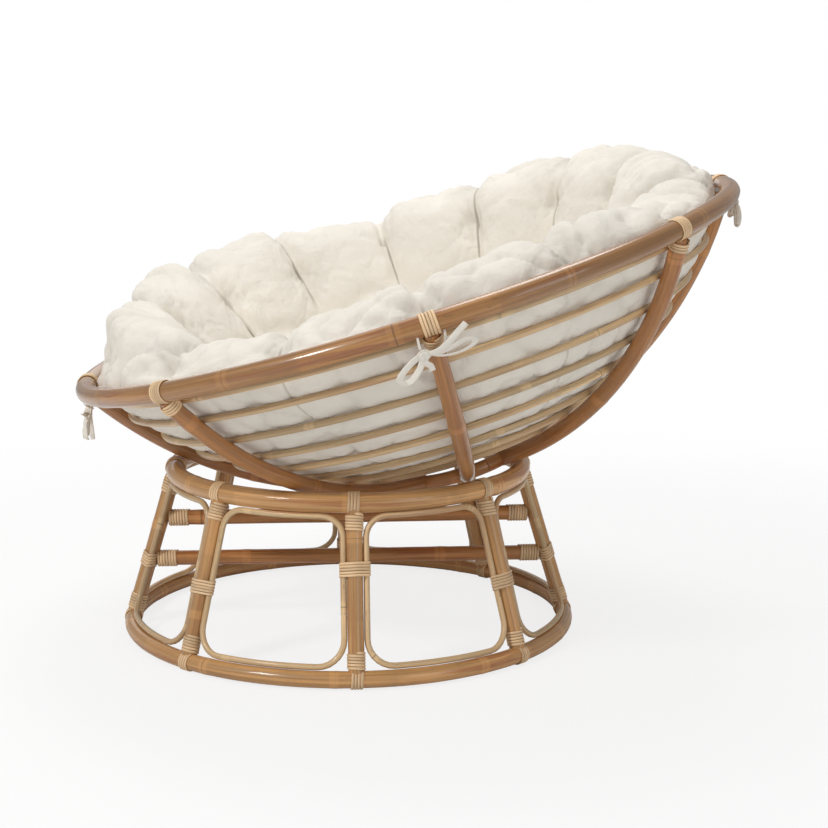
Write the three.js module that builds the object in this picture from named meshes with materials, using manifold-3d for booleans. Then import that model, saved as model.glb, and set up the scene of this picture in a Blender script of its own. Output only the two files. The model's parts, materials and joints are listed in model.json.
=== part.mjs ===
// Papasan chair: a round cane bowl with a tufted cushion, resting on a drum-shaped cane stand.
// Millimetres, +Z up. The chair faces -Y, and its origin is on the floor, under the middle of its bounding box.
// The bowl's ribs lie on a sphere, so the bowl tilts in the stand's top ring about the centre of that sphere.

import * as THREE from 'three';
import Module from 'manifold-3d';
import { mergeVertices } from 'three/addons/utils/BufferGeometryUtils.js';

const wasm = await Module();
wasm.setup();

// Clearance between pieces that meet, and the cane peel that binds them
const SEAT_GAP = 0.3;
const PEEL_THICKNESS = 2.4;
const PEEL_FLAT = 0.5;
const BINDING_WIDTH = 20;
const BINDING_TURNS = 2;

// Stand
const BAY_COUNT = 8;
const BOTTOM_RING_RADIUS = 355;
const BOTTOM_RING_THICKNESS = 25;
const TOP_RING_RADIUS = 281;
const TOP_RING_THICKNESS = 30;
const RING_SPACING = 248;
const POST_THICKNESS = 24;
const BAY_LOOP_THICKNESS = 9;
const BAY_LOOP_CORNER = 36;
const CROSS_BAR_THICKNESS = 24;
const LOWER_BAR_RISE = 96;
const UPPER_BAR_RISE = 164;
const BAR_BINDING_LENGTH = 26;

// Winding at the middle of each post, with its height as a share of the rings' spacing, post by post
const STRAND_THICKNESS = 4.4;
const STRAND_PITCH = 5.2;
const WINDING_TURNS = 3;
const WINDING_HEIGHT_shares = [0.62, 0.45, 0.4, 0.48, 0.5, 0.48, 0.39, 0.44];

// Bowl: the ribs' arc and the centre ring in shares of the rim's radius, the hoops' places in shares of the way down
// a rib from the rim to the lowest point
const BOWL_TILT = THREE.MathUtils.degToRad(17.2);
const RIM_RADIUS = 534;
const RIM_THICKNESS = 30;
const RIM_INSET = 7;
const RIB_COUNT = 8;
const RIB_ARC_share = 1.1704;
const RIB_THICKNESS = 25;
const RIB_TOP_DROP = 10;
const RIB_COLLAR_LENGTH = 9;
const HOOP_COUNT = 8;
const HOOP_THICKNESS = 10;
const FIRST_HOOP_share = 0.0505;
const SECOND_HOOP_share = 0.1263;
const HOOP_PITCH_share = 0.0947;
const CENTRE_RING_share = 0.1723;
const CENTRE_RING_THICKNESS = 22;

// Cushion: heights are above the rim's plane, and its lobes are parted by seams
const CREST_HEIGHT = 130;
const CREST_RADIUS_share = 0.8465;
const LOW_END_LEAN = 34;
const CUSHION_THICKNESS = 128;
const LOBE_COUNT = 14;
const LOBE_DEPTH = 15;
const SEAT_LOBE_DEPTH = 24;
const TUFT_RADIUS_share = 0.4963;
const TUFT_DEPTH = 36;
const TUFT_SPREAD = 62;
const CORE_share = 0.93;

// The height of the cushion's edge, every so far round the bowl, as shares of the crest's height
const CREST_shares = [
  0.45, 0.42, 0.4, 0.33, 0.3, 0.4, 0.49, 0.74, 0.82, 0.86, 0.83, 0.75,
  0.72, 0.88, 1, 1, 1, 0.92, 0.82, 0.69, 0.48, 0.33, 0.27, 0.33,
];

// The cushion's outline: angles of its underside as shares of the rim's angle, places across its edge as shares of
// the way from the crest to the wall, heights of its edge as shares of the crest, and the seat in tuft radii
const UNDERSIDE_shares = [0, 0.3, 0.6, 0.88];
const EDGE_PLACE_shares = [1, 1, 0.5, 0, -0.85];
const EDGE_RISE_shares = [0, 0.45, 0.88, 1, 0.8];
const SEAT_shares = [1.22, 1, 0.7, 0.35, 0];

// Ties: a bow of flat tape on four of the ribs, each run drawn in shares of its length and height from the knot
const TIE_COUNT = 4;
const TAPE_WIDTH = 6;
const TAPE_THICKNESS = 1.6;
const TAPE_SPREAD = 24;
const KNOT_SIZE = 13;
const BOW_LENGTH = 44;
const BOW_HEIGHT = 22;
const TAIL_SPREAD = 26;
const TAIL_LENGTH = 38;
const BOW_shares = [[0, 0], [0.5, -0.25], [1, -0.12], [1, 0.4], [0.5, 0.5], [0, 0]];
const TAIL_shares = [[0, 0], [0.65, 0.55], [1, 1]];

// Facets, and how far a cutting block runs past what it cuts
const RING_SEGMENTS = 40;
const RIM_SEGMENTS = 48;
const CENTRE_RING_SEGMENTS = 16;
const TUBE_SIDES = 8;
const THIN_SIDES = 5;
const ARC_STEPS = 3;
const LONGEST_LOOP_STEP = 60;
const LONGEST_HOOP_STEP = 120;
const WINDING_STEPS = 9;
const RIB_STEPS = 10;
const CUSHION_SEGMENTS = LOBE_COUNT * 3;
const CUSHION_ROWS = 21;
const MERGE_TOLERANCE = 1e-4;
const OVERRUN = 60;

// Derived sizes of the stand: everything is laid out in the upright plane of one post, at azimuth 0
const bottomRingBore = BOTTOM_RING_THICKNESS / 2 + SEAT_GAP;
const topRingBore = TOP_RING_THICKNESS / 2 + SEAT_GAP;
const bottomRingHeight = bottomRingBore + PEEL_THICKNESS - PEEL_FLAT;
const topRingHeight = bottomRingHeight + RING_SPACING;
const postFoot = new THREE.Vector3(BOTTOM_RING_RADIUS, 0, bottomRingHeight);
const postHead = new THREE.Vector3(TOP_RING_RADIUS, 0, topRingHeight);
const postLength = postFoot.distanceTo(postHead);
const postRadius = POST_THICKNESS / 2;
const loopRadius = BAY_LOOP_THICKNESS / 2;
const baySpan = (2 * Math.PI) / BAY_COUNT;
const ringSag = BOTTOM_RING_RADIUS * (1 - Math.cos(Math.PI / RING_SEGMENTS));
const leanShare = (BOTTOM_RING_RADIUS - TOP_RING_RADIUS) / postLength;
const loopClearance = SEAT_GAP + ringSag * leanShare;
const loopSideOffset = postRadius + SEAT_GAP + loopRadius;

// The bindings end where the bay loops' corners have swung clear of the peel
const cornerInset = PEEL_THICKNESS + 2 * SEAT_GAP;
const cornerReach = Math.sqrt(2 * BAY_LOOP_CORNER * cornerInset - cornerInset ** 2);
const bindingLength = loopClearance + loopRadius + BAY_LOOP_CORNER - cornerReach;

// Derived sizes of the bowl, whose own origin is the centre of the ribs' sphere
const ribArcRadius = RIM_RADIUS * RIB_ARC_share;
const centreRingRadius = RIM_RADIUS * CENTRE_RING_share;
const crestRadius = RIM_RADIUS * CREST_RADIUS_share;
const tuftRadius = RIM_RADIUS * TUFT_RADIUS_share;
const ribRadius = RIB_THICKNESS / 2;
const ribOuterRadius = ribArcRadius + ribRadius;
const seatRadius = ribOuterRadius + SEAT_GAP + topRingBore + PEEL_THICKNESS;
const seatPlace = TOP_RING_RADIUS * Math.cos(Math.PI / RING_SEGMENTS);
const sphereHeight = topRingHeight + Math.sqrt(seatRadius ** 2 - seatPlace ** 2);
const rimArcRadius = ribArcRadius - RIM_INSET;
const rimDrop = Math.sqrt(rimArcRadius ** 2 - RIM_RADIUS ** 2);
const rimAngle = Math.asin(RIM_RADIUS / rimArcRadius);
const rimBore = RIM_THICKNESS / 2 + SEAT_GAP;
const ribTopAngle = rimAngle - RIB_TOP_DROP / ribArcRadius;
const centreRingAngle = Math.asin(centreRingRadius / ribArcRadius);
const ribSag = ribArcRadius * (1 - Math.cos((ribTopAngle - centreRingAngle) / RIB_STEPS / 2));
const hoopArcRadius = ribArcRadius - ribSag - ribRadius - SEAT_GAP - HOOP_THICKNESS / 2;
const liningRadius = hoopArcRadius - (HOOP_THICKNESS / 2) * Math.cos(Math.PI / THIN_SIDES) - SEAT_GAP;
const wallRadius = RIM_RADIUS * Math.cos(Math.PI / RIM_SEGMENTS) - rimBore - PEEL_THICKNESS - SEAT_GAP;

const ribMaterial = cane('#a4703c', 0.42);
const rimMaterial = cane('#b3753f', 0.36);
const standMaterial = cane('#bd9462', 0.48);
const paleMaterial = cane('#c6a672', 0.55);
const peelMaterial = cane('#d6b883', 0.6);
const clothMaterial = new THREE.MeshStandardMaterial({ color: '#ece8dd', roughness: 0.95, metalness: 0 });

function cane(color, roughness) {
  return new THREE.MeshStandardMaterial({ color, roughness, metalness: 0 });
}

// A path through given points, met exactly, with a smooth tangent at each
class PointPath extends THREE.Curve {
  constructor(points, closed = false) {
    super();
    this.points = points;
    this.closed = closed;
  }

  indexAt(u) {
    const count = this.points.length;
    return Math.round(u * (this.closed ? count : count - 1));
  }

  getPointAt(u) {
    return this.points[this.indexAt(u) % this.points.length].clone();
  }

  getTangentAt(u) {
    const count = this.points.length;
    const index = this.indexAt(u);
    const before = this.closed ? (index - 1 + count) % count : Math.max(index - 1, 0);
    const after = this.closed ? (index + 1) % count : Math.min(index + 1, count - 1);
    const here = this.points[index % count];
    const arriving = here.clone().sub(this.points[before]).normalize();
    const leaving = this.points[after].clone().sub(here).normalize();
    return arriving.add(leaving).normalize();
  }
}

// A round or flat bar swept along an open path
function sweptBar(points, section) {
  const path = new PointPath(points);
  return new THREE.ExtrudeGeometry(section, { steps: points.length - 1, extrudePath: path });
}

function roundSection(radius, sides) {
  const corners = [];
  for (let side = 0; side < sides; side += 1) {
    const angle = Math.PI / 2 + (2 * Math.PI * side) / sides;
    corners.push(new THREE.Vector2(radius * Math.cos(angle), radius * Math.sin(angle)));
  }
  return new THREE.Shape(corners);
}

function flatSection(width, thickness) {
  const corners = [[-1, -1], [1, -1], [1, 1], [-1, 1]];
  return new THREE.Shape(corners.map(([x, y]) => new THREE.Vector2((x * width) / 2, (y * thickness) / 2)));
}

// Turns a geometry into a solid that can be joined and cut
function solid(geometry) {
  const bare = geometry.clone();
  bare.deleteAttribute('normal');
  bare.deleteAttribute('uv');
  const merged = mergeVertices(bare, MERGE_TOLERANCE);
  const mesh = new wasm.Mesh({
    numProp: 3,
    vertProperties: new Float32Array(merged.attributes.position.array),
    triVerts: new Uint32Array(merged.index.array),
  });
  return new wasm.Manifold(mesh);
}

function geometryOf(body) {
  const mesh = body.getMesh();
  const geometry = new THREE.BufferGeometry();
  geometry.setAttribute('position', new THREE.BufferAttribute(new Float32Array(mesh.vertProperties), 3));
  geometry.setIndex(new THREE.BufferAttribute(new Uint32Array(mesh.triVerts), 1));
  geometry.computeVertexNormals();
  return geometry;
}

function box(low, high) {
  const size = high.clone().sub(low);
  const middle = high.clone().add(low).multiplyScalar(0.5);
  return solid(new THREE.BoxGeometry(size.x, size.y, size.z).translate(middle.x, middle.y, middle.z));
}

// A lathe or cylinder is made along +Y: this stands it on a point, along a direction in the plane y = 0
function stood(geometry, foot, direction) {
  const along = direction.clone().normalize();
  const across = new THREE.Vector3(0, 1, 0);
  const frame = new THREE.Matrix4().makeBasis(along.clone().cross(across), along, across);
  return geometry.applyMatrix4(frame.setPosition(foot));
}

// A ring about +Z, revolved from a many-sided section with one corner turned to face a given way.
// The middle of one of its straight facets lies at azimuth 0.
function ring(radius, tubeRadius, height, sides, segments, facing = 0) {
  const section = [];
  for (let side = 0; side <= sides; side += 1) {
    const angle = facing + (2 * Math.PI * (side % sides)) / sides;
    section.push(new THREE.Vector2(radius + tubeRadius * Math.cos(angle), height + tubeRadius * Math.sin(angle)));
  }
  return new THREE.LatheGeometry(section, segments, Math.PI / segments).rotateX(Math.PI / 2);
}

// A bound stretch of a bar as points beside its axis, with one ridge for each turn of peel
function bindingProfile(barRadius, start, length) {
  const points = [];
  const pitch = length / BINDING_TURNS;
  for (let turn = 0; turn < BINDING_TURNS; turn += 1) {
    points.push(new THREE.Vector2(barRadius + PEEL_THICKNESS / 2, start + turn * pitch));
    points.push(new THREE.Vector2(barRadius + PEEL_THICKNESS, start + (turn + 0.5) * pitch));
  }
  points.push(new THREE.Vector2(barRadius + PEEL_THICKNESS / 2, start + length));
  return points;
}

// A bar revolved from its outline, closed to its axis at both ends
function turned(profile) {
  const first = new THREE.Vector2(0, profile[0].y);
  const last = new THREE.Vector2(0, profile.at(-1).y);
  return new THREE.LatheGeometry([first, ...profile, last], TUBE_SIDES);
}

function plainBar(radius, start, length) {
  return turned([new THREE.Vector2(radius, start), new THREE.Vector2(radius, start + length)]);
}

// The strands of peel that pass over a ring at azimuth 0, still solid where the ring runs
function ringWrap(radius, bore, height, segments, facing) {
  const outer = solid(ring(radius, bore + PEEL_THICKNESS, height, TUBE_SIDES, segments, facing));
  const reach = bore + PEEL_THICKNESS + OVERRUN;
  const low = new THREE.Vector3(0, -BINDING_WIDTH / 2, height - reach);
  const high = new THREE.Vector3(radius + reach, BINDING_WIDTH / 2, height + reach);
  return outer.intersect(box(low, high));
}

// Stand
const seatFacing = Math.atan2(sphereHeight - topRingHeight, -TOP_RING_RADIUS);
const bottomRingCut = solid(ring(BOTTOM_RING_RADIUS, bottomRingBore, bottomRingHeight, TUBE_SIDES, RING_SEGMENTS));
const topRingCut = solid(ring(TOP_RING_RADIUS, topRingBore, topRingHeight, TUBE_SIDES, RING_SEGMENTS, seatFacing));
const postAxis = postHead.clone().sub(postFoot).normalize();

function post() {
  const bindingStart = postLength - topRingBore - bindingLength;
  const profile = [
    new THREE.Vector2(postRadius, 0),
    new THREE.Vector2(postRadius, bindingStart),
    ...bindingProfile(postRadius, bindingStart, bindingLength),
    new THREE.Vector2(postRadius, postLength - topRingBore),
    new THREE.Vector2(postRadius, postLength),
  ];
  const shaft = solid(stood(turned(profile), postFoot, postAxis));
  const wrap = ringWrap(TOP_RING_RADIUS, topRingBore, topRingHeight, RING_SEGMENTS, seatFacing);
  return geometryOf(shaft.add(wrap).subtract(topRingCut).subtract(bottomRingCut));
}

function footLashing() {
  const bore = solid(stood(plainBar(postRadius + SEAT_GAP, 0, postLength), postFoot, postAxis));
  const start = bottomRingBore;
  const collarOutline = bindingProfile(postRadius + SEAT_GAP, start, bindingLength);
  collarOutline.unshift(new THREE.Vector2(postRadius + SEAT_GAP + PEEL_THICKNESS, 0));
  const collar = solid(stood(turned(collarOutline), postFoot, postAxis));
  const wrap = ringWrap(BOTTOM_RING_RADIUS, bottomRingBore, bottomRingHeight, RING_SEGMENTS, 0);
  const reach = BOTTOM_RING_RADIUS + OVERRUN;
  const ground = box(new THREE.Vector3(0, -reach, -OVERRUN), new THREE.Vector3(reach, reach, 0));
  return geometryOf(wrap.add(collar).subtract(bore).subtract(bottomRingCut).subtract(ground));
}

function coneRadius(rise) {
  return THREE.MathUtils.lerp(BOTTOM_RING_RADIUS, TOP_RING_RADIUS, rise / postLength);
}

// A point of the stand's cone: arc from the middle of a bay, and distance up the slope from the bottom ring
function onCone(arc, rise) {
  const radius = coneRadius(rise);
  const azimuth = arc / radius;
  const height = bottomRingHeight + RING_SPACING * (rise / postLength);
  return new THREE.Vector3(radius * Math.cos(azimuth), radius * Math.sin(azimuth), height);
}

function halfBay(rise) {
  return (coneRadius(rise) * baySpan) / 2 - loopSideOffset;
}

function roundedOutline(corners, radius) {
  const points = [];
  corners.forEach((corner, index) => {
    const toBefore = corners.at(index - 1).clone().sub(corner).normalize();
    const toAfter = corners[(index + 1) % corners.length].clone().sub(corner).normalize();
    const halfAngle = Math.acos(toBefore.dot(toAfter)) / 2;
    const bisector = toBefore.clone().add(toAfter).normalize();
    const centre = corner.clone().addScaledVector(bisector, radius / Math.sin(halfAngle));
    for (let step = 0; step <= ARC_STEPS; step += 1) {
      const turn = (Math.PI / 2 - halfAngle) * ((2 * step) / ARC_STEPS - 1);
      const spoke = bisector.clone().negate().rotateAround(new THREE.Vector2(), turn);
      points.push(centre.clone().addScaledVector(spoke, radius));
    }
  });
  return points;
}

function subdivided(points, longest) {
  const finer = [];
  points.forEach((point, index) => {
    const next = points[(index + 1) % points.length];
    const pieces = Math.max(1, Math.round(point.distanceTo(next) / longest));
    for (let piece = 0; piece < pieces; piece += 1) {
      finer.push(point.clone().lerp(next, piece / pieces));
    }
  });
  return finer;
}

// A thin cane bent to a rounded outline that fills one bay, lying on the cone between two posts
function bayLoop() {
  const low = BOTTOM_RING_THICKNESS / 2 + loopClearance + loopRadius;
  const high = postLength - (TOP_RING_THICKNESS / 2 + loopClearance + loopRadius);
  const corners = [
    new THREE.Vector2(-halfBay(low), low),
    new THREE.Vector2(halfBay(low), low),
    new THREE.Vector2(halfBay(high), high),
    new THREE.Vector2(-halfBay(high), high),
  ];
  const outline = subdivided(roundedOutline(corners, BAY_LOOP_CORNER), LONGEST_LOOP_STEP);
  const points = outline.map((point) => onCone(point.x, point.y));
  return new THREE.TubeGeometry(new PointPath(points, true), points.length, loopRadius, THIN_SIDES, true);
}

// One unbroken strand round a post and the loop on each side of it, as the points of its centreline
function windingPath(heightShare) {
  const middle = postLength * heightShare;
  const origin = postFoot.clone().addScaledVector(postAxis, middle);
  const outward = postAxis.clone().cross(new THREE.Vector3(0, 1, 0)).negate();
  const beside = onCone(loopSideOffset, middle);
  const setBack = beside.clone().sub(origin).dot(outward);
  const strandRadius = STRAND_THICKNESS / 2;
  const spread = windingSpread();
  const bars = [
    { place: new THREE.Vector2(0, 0), reach: postRadius + spread },
    { place: new THREE.Vector2(setBack, beside.y), reach: loopRadius + spread },
    { place: new THREE.Vector2(setBack, -beside.y), reach: loopRadius + spread },
  ];
  const points = [];
  for (let step = 0; step <= WINDING_TURNS * WINDING_STEPS; step += 1) {
    const angle = Math.PI + (2 * Math.PI * (step + 0.5)) / WINDING_STEPS;
    const spoke = new THREE.Vector2(Math.cos(angle), Math.sin(angle));
    const reaches = bars.map((bar) => bar.place.dot(spoke) + bar.reach);
    const held = bars[reaches.indexOf(Math.max(...reaches))];
    const flat = held.place.clone().addScaledVector(spoke, held.reach - strandRadius);
    const climb = STRAND_PITCH * (step / WINDING_STEPS - WINDING_TURNS / 2);
    const point = origin.clone().addScaledVector(outward, flat.x).addScaledVector(postAxis, climb);
    points.push(point.add(new THREE.Vector3(0, flat.y, 0)));
  }
  return points;
}

// How far a winding's outside stands off the bar that it goes round, its straight steps allowed for
function windingSpread() {
  const strandCentre = postRadius + SEAT_GAP + STRAND_THICKNESS / 2;
  return strandCentre / Math.cos(Math.PI / WINDING_STEPS) + STRAND_THICKNESS / 2 - postRadius;
}

// Least gap of a winding to itself, measured between points at least half a turn apart
function leastSelfGap(points) {
  let least = Infinity;
  for (let first = 0; first < points.length; first += 1) {
    for (let second = first + Math.ceil(WINDING_STEPS / 2); second < points.length; second += 1) {
      least = Math.min(least, points[first].distanceTo(points[second]));
    }
  }
  return least - STRAND_THICKNESS;
}

// A straight bar from the left post to the right one, bound at its ends, which are coped to what they meet
function crossBar(rise, copeRadius) {
  const barRadius = CROSS_BAR_THICKNESS / 2;
  const topRise = ((rise + barRadius + PEEL_THICKNESS) * postLength) / RING_SPACING;
  const reach = coneRadius(topRise) - loopRadius - 2 * SEAT_GAP;
  const bound = postRadius + BAR_BINDING_LENGTH;
  const profile = [
    ...bindingProfile(barRadius, -reach, bound),
    new THREE.Vector2(barRadius, bound - reach),
    new THREE.Vector2(barRadius, reach - bound),
    ...bindingProfile(barRadius, reach - bound, bound),
  ];
  let bar = solid(turned(profile).translate(0, 0, bottomRingHeight + rise));
  for (const side of [-1, 1]) {
    const cope = stood(plainBar(copeRadius, 0, postLength), postFoot, postAxis);
    bar = bar.subtract(solid(cope.rotateZ((side * Math.PI) / 2)));
  }
  return geometryOf(bar);
}

// Bowl
const rimCut = solid(ring(RIM_RADIUS, rimBore, -rimDrop, TUBE_SIDES, RIM_SEGMENTS));
const centreRingHeight = -ribArcRadius * Math.cos(centreRingAngle);
const centreRingCut = solid(ring(centreRingRadius, CENTRE_RING_THICKNESS / 2 + SEAT_GAP, centreRingHeight,
  TUBE_SIDES, CENTRE_RING_SEGMENTS));

// A point in the upright plane at azimuth 0: angle from the bowl's lowest point, and distance from the centre
function onMeridian(angle, distance) {
  return new THREE.Vector3(distance * Math.sin(angle), 0, -distance * Math.cos(angle));
}

function rib() {
  const footAngle = centreRingAngle + CENTRE_RING_THICKNESS / 4 / ribArcRadius;
  const points = [];
  for (let step = 0; step <= RIB_STEPS; step += 1) {
    points.push(onMeridian(THREE.MathUtils.lerp(footAngle, ribTopAngle, step / RIB_STEPS), ribArcRadius));
  }
  const collarLength = RIB_COLLAR_LENGTH + rimBore - RIB_TOP_DROP;
  const collarAngle = ribTopAngle - collarLength / ribArcRadius;
  const upward = new THREE.Vector3(Math.cos(ribTopAngle), 0, Math.sin(ribTopAngle));
  const collar = stood(turned(bindingProfile(ribRadius, 0, collarLength)),
    onMeridian(collarAngle, ribArcRadius), upward);
  const wrap = ringWrap(RIM_RADIUS, rimBore, -rimDrop, RIM_SEGMENTS, 0);
  const bar = solid(sweptBar(points, roundSection(ribRadius, TUBE_SIDES)));
  return geometryOf(bar.add(solid(collar)).add(wrap).subtract(rimCut).subtract(centreRingCut));
}

// The angle of each hoop from the bowl's lowest point: one close under the rim, the others evenly spaced
function hoopAngle(index) {
  const drop = index === 0 ? FIRST_HOOP_share : SECOND_HOOP_share + (index - 1) * HOOP_PITCH_share;
  return rimAngle * (1 - drop);
}

// A hoop lies on the ribs: the middle of a straight facet crosses each of them
function hoop(index) {
  const angle = hoopAngle(index);
  const place = onMeridian(angle, hoopArcRadius);
  const segments = RIB_COUNT * Math.ceil((2 * Math.PI * place.x) / RIB_COUNT / LONGEST_HOOP_STEP);
  const radius = place.x / Math.cos(Math.PI / segments);
  return ring(radius, HOOP_THICKNESS / 2, place.z, THIN_SIDES, segments, angle - Math.PI / 2);
}

// Cushion: how high its edge stands above the rim, as a share of the highest crest
function crestShare(azimuth) {
  const count = CREST_shares.length;
  const place = (azimuth / (2 * Math.PI)) * count;
  const index = Math.floor(place);
  const blend = THREE.MathUtils.smoothstep(place - index, 0, 1);
  return THREE.MathUtils.lerp(CREST_shares[index % count], CREST_shares[(index + 1) % count], blend);
}

// Outline of the cushion at one azimuth, from its lowest point, round its puffed edge, to the middle of the seat; its
// edge leans off the rim towards the bowl's low end
function cushionOutline(azimuth) {
  const rise = CREST_HEIGHT * crestShare(azimuth);
  const seamShare = 1 - Math.abs(Math.sin((LOBE_COUNT * azimuth) / 2));
  const seam = LOBE_DEPTH * seamShare;
  const core = new THREE.Vector2(crestRadius * CORE_share, -rimDrop);
  const lowness = (1 - Math.sin(azimuth)) / 2;
  const edge = EDGE_PLACE_shares.map((share, index) => {
    const lean = EDGE_RISE_shares[index] > 0 ? lowness * LOW_END_LEAN : 0;
    const radius = THREE.MathUtils.lerp(crestRadius, wallRadius - lean, Math.max(share, 0))
      + Math.min(share, 0) * (wallRadius - crestRadius);
    const point = new THREE.Vector2(radius, rise * EDGE_RISE_shares[index] - rimDrop);
    return point.sub(point.clone().sub(core).setLength(seam));
  });
  const underside = UNDERSIDE_shares.map((share) => share * rimAngle).map((angle) => new THREE.Vector2(
    liningRadius * Math.sin(angle), -liningRadius * Math.cos(angle)));
  const seat = SEAT_shares.map((share) => {
    const seatArc = liningRadius - CUSHION_THICKNESS + (share < 1 ? 0 : SEAT_LOBE_DEPTH * seamShare);
    return new THREE.Vector2(share * tuftRadius, -Math.sqrt(seatArc ** 2 - (share * tuftRadius) ** 2));
  });
  return new THREE.SplineCurve([...underside, ...edge, ...seat]);
}

// How far the seat is drawn down at a point by the tufts: one in the middle and a ring of them about it
function tuftDepth(x, y) {
  const places = [new THREE.Vector2(0, 0)];
  for (let tuft = 0; tuft < LOBE_COUNT / 2; tuft += 1) {
    const angle = (4 * Math.PI * tuft) / LOBE_COUNT;
    places.push(new THREE.Vector2(tuftRadius * Math.cos(angle), tuftRadius * Math.sin(angle)));
  }
  const nearest = Math.min(...places.map((place) => place.distanceTo(new THREE.Vector2(x, y))));
  return TUFT_DEPTH * Math.exp(-((nearest / TUFT_SPREAD) ** 2));
}

function cushion() {
  const outlines = [];
  for (let segment = 0; segment < CUSHION_SEGMENTS; segment += 1) {
    outlines.push(cushionOutline((2 * Math.PI * segment) / CUSHION_SEGMENTS));
  }
  const positions = [];
  const seatRow = CUSHION_ROWS * (1 - SEAT_shares.length / outlines[0].points.length);
  for (let row = 1; row < CUSHION_ROWS; row += 1) {
    outlines.forEach((outline, segment) => {
      const azimuth = (2 * Math.PI * segment) / CUSHION_SEGMENTS;
      const flat = outline.getPoint(row / CUSHION_ROWS);
      if (flat.y < -rimDrop) {
        flat.setLength(Math.min(flat.length(), liningRadius));
      }
      const radius = Math.min(flat.x, wallRadius);
      const place = new THREE.Vector3(radius * Math.cos(azimuth), radius * Math.sin(azimuth), flat.y);
      if (row > seatRow) {
        place.z -= tuftDepth(place.x, place.y);
      }
      positions.push(...place.toArray());
    });
  }
  const bottom = positions.length / 3;
  positions.push(0, 0, -liningRadius);
  positions.push(0, 0, CUSHION_THICKNESS - liningRadius - TUFT_DEPTH);
  const faces = [];
  for (let segment = 0; segment < CUSHION_SEGMENTS; segment += 1) {
    const next = (segment + 1) % CUSHION_SEGMENTS;
    const lastRow = (CUSHION_ROWS - 2) * CUSHION_SEGMENTS;
    faces.push(bottom, next, segment);
    faces.push(bottom + 1, lastRow + segment, lastRow + next);
    for (let row = 0; row < CUSHION_ROWS - 2; row += 1) {
      const low = row * CUSHION_SEGMENTS;
      const high = low + CUSHION_SEGMENTS;
      faces.push(low + segment, low + next, high + next);
      faces.push(low + segment, high + next, high + segment);
    }
  }
  const geometry = new THREE.BufferGeometry();
  geometry.setAttribute('position', new THREE.Float32BufferAttribute(positions, 3));
  geometry.setIndex(faces);
  geometry.computeVertexNormals();
  return geometry;
}

// A place beside the rib at azimuth 0: sideways, down the arc from the rim, and out from the sphere's centre
function besideRib(sideways, drop, distance) {
  const place = onMeridian(rimAngle - drop / rimArcRadius, distance);
  return place.setY(sideways);
}

// A bow tied below the rim: two tapes come out between the rim and the first hoop and meet in a knot on the rib
function tie() {
  const slotDrop = (rimBore + (rimAngle - hoopAngle(0)) * hoopArcRadius - HOOP_THICKNESS / 2) / 2;
  const knotDrop = rimBore + RIB_COLLAR_LENGTH + KNOT_SIZE / 2 + SEAT_GAP;
  const knotDistance = ribOuterRadius + SEAT_GAP + KNOT_SIZE / 2;
  const tape = flatSection(TAPE_THICKNESS, TAPE_WIDTH);
  const knotPlace = besideRib(0, knotDrop, knotDistance);
  let bow = solid(new THREE.SphereGeometry(KNOT_SIZE / 2, THIN_SIDES, THIN_SIDES).translate(...knotPlace.toArray()));
  for (const side of [-1, 1]) {
    const loop = BOW_shares.map(([out, down]) =>
      besideRib(side * BOW_LENGTH * out, knotDrop + BOW_HEIGHT * down, knotDistance));
    const tail = TAIL_shares.map(([out, down]) =>
      besideRib(side * TAIL_SPREAD * out, knotDrop + TAIL_LENGTH * down, knotDistance));
    const lead = [
      besideRib(side * TAPE_SPREAD, slotDrop, liningRadius + SEAT_GAP + TAPE_THICKNESS),
      besideRib(side * TAPE_SPREAD, slotDrop, ribArcRadius),
      knotPlace,
    ];
    for (const run of [loop, tail, lead]) {
      bow = bow.add(solid(sweptBar(run, tape)));
    }
  }
  return geometryOf(bow.simplify(SEAT_GAP));
}

// Assembly
function piece(name, geometry, material, azimuth = 0) {
  const mesh = new THREE.Mesh(geometry, material.clone());
  mesh.name = name;
  mesh.rotation.z = azimuth;
  return mesh;
}

function stand() {
  const group = new THREE.Group();
  group.add(piece('bottom_ring', ring(BOTTOM_RING_RADIUS, BOTTOM_RING_THICKNESS / 2, bottomRingHeight,
    TUBE_SIDES, RING_SEGMENTS), standMaterial));
  group.add(piece('top_ring', ring(TOP_RING_RADIUS, TOP_RING_THICKNESS / 2, topRingHeight,
    TUBE_SIDES, RING_SEGMENTS, seatFacing), standMaterial));
  const postGeometry = post();
  const footGeometry = footLashing();
  const loopGeometry = bayLoop();
  for (let bay = 0; bay < BAY_COUNT; bay += 1) {
    const azimuth = bay * baySpan;
    const share = WINDING_HEIGHT_shares[bay % WINDING_HEIGHT_shares.length];
    const strand = windingPath(share);
    console.log(`mid_lashing_${bay + 1} least gap to itself ${leastSelfGap(strand).toFixed(2)} mm`);
    const section = roundSection(STRAND_THICKNESS / 2, THIN_SIDES);
    group.add(piece(`post_${bay + 1}`, postGeometry, standMaterial, azimuth));
    group.add(piece(`foot_lashing_${bay + 1}`, footGeometry, peelMaterial, azimuth));
    group.add(piece(`mid_lashing_${bay + 1}`, sweptBar(strand, section), peelMaterial, azimuth));
    group.add(piece(`bay_loop_${bay + 1}`, loopGeometry, paleMaterial, azimuth + baySpan / 2));
  }
  const facetShare = Math.cos(Math.PI / TUBE_SIDES);
  const windingCope = (postRadius + windingSpread() + SEAT_GAP) / facetShare;
  const postCope = postRadius + SEAT_GAP / facetShare;
  group.add(piece('lower_cross_bar', crossBar(LOWER_BAR_RISE, windingCope), ribMaterial));
  group.add(piece('upper_cross_bar', crossBar(UPPER_BAR_RISE, postCope), ribMaterial));
  return group;
}

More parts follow.
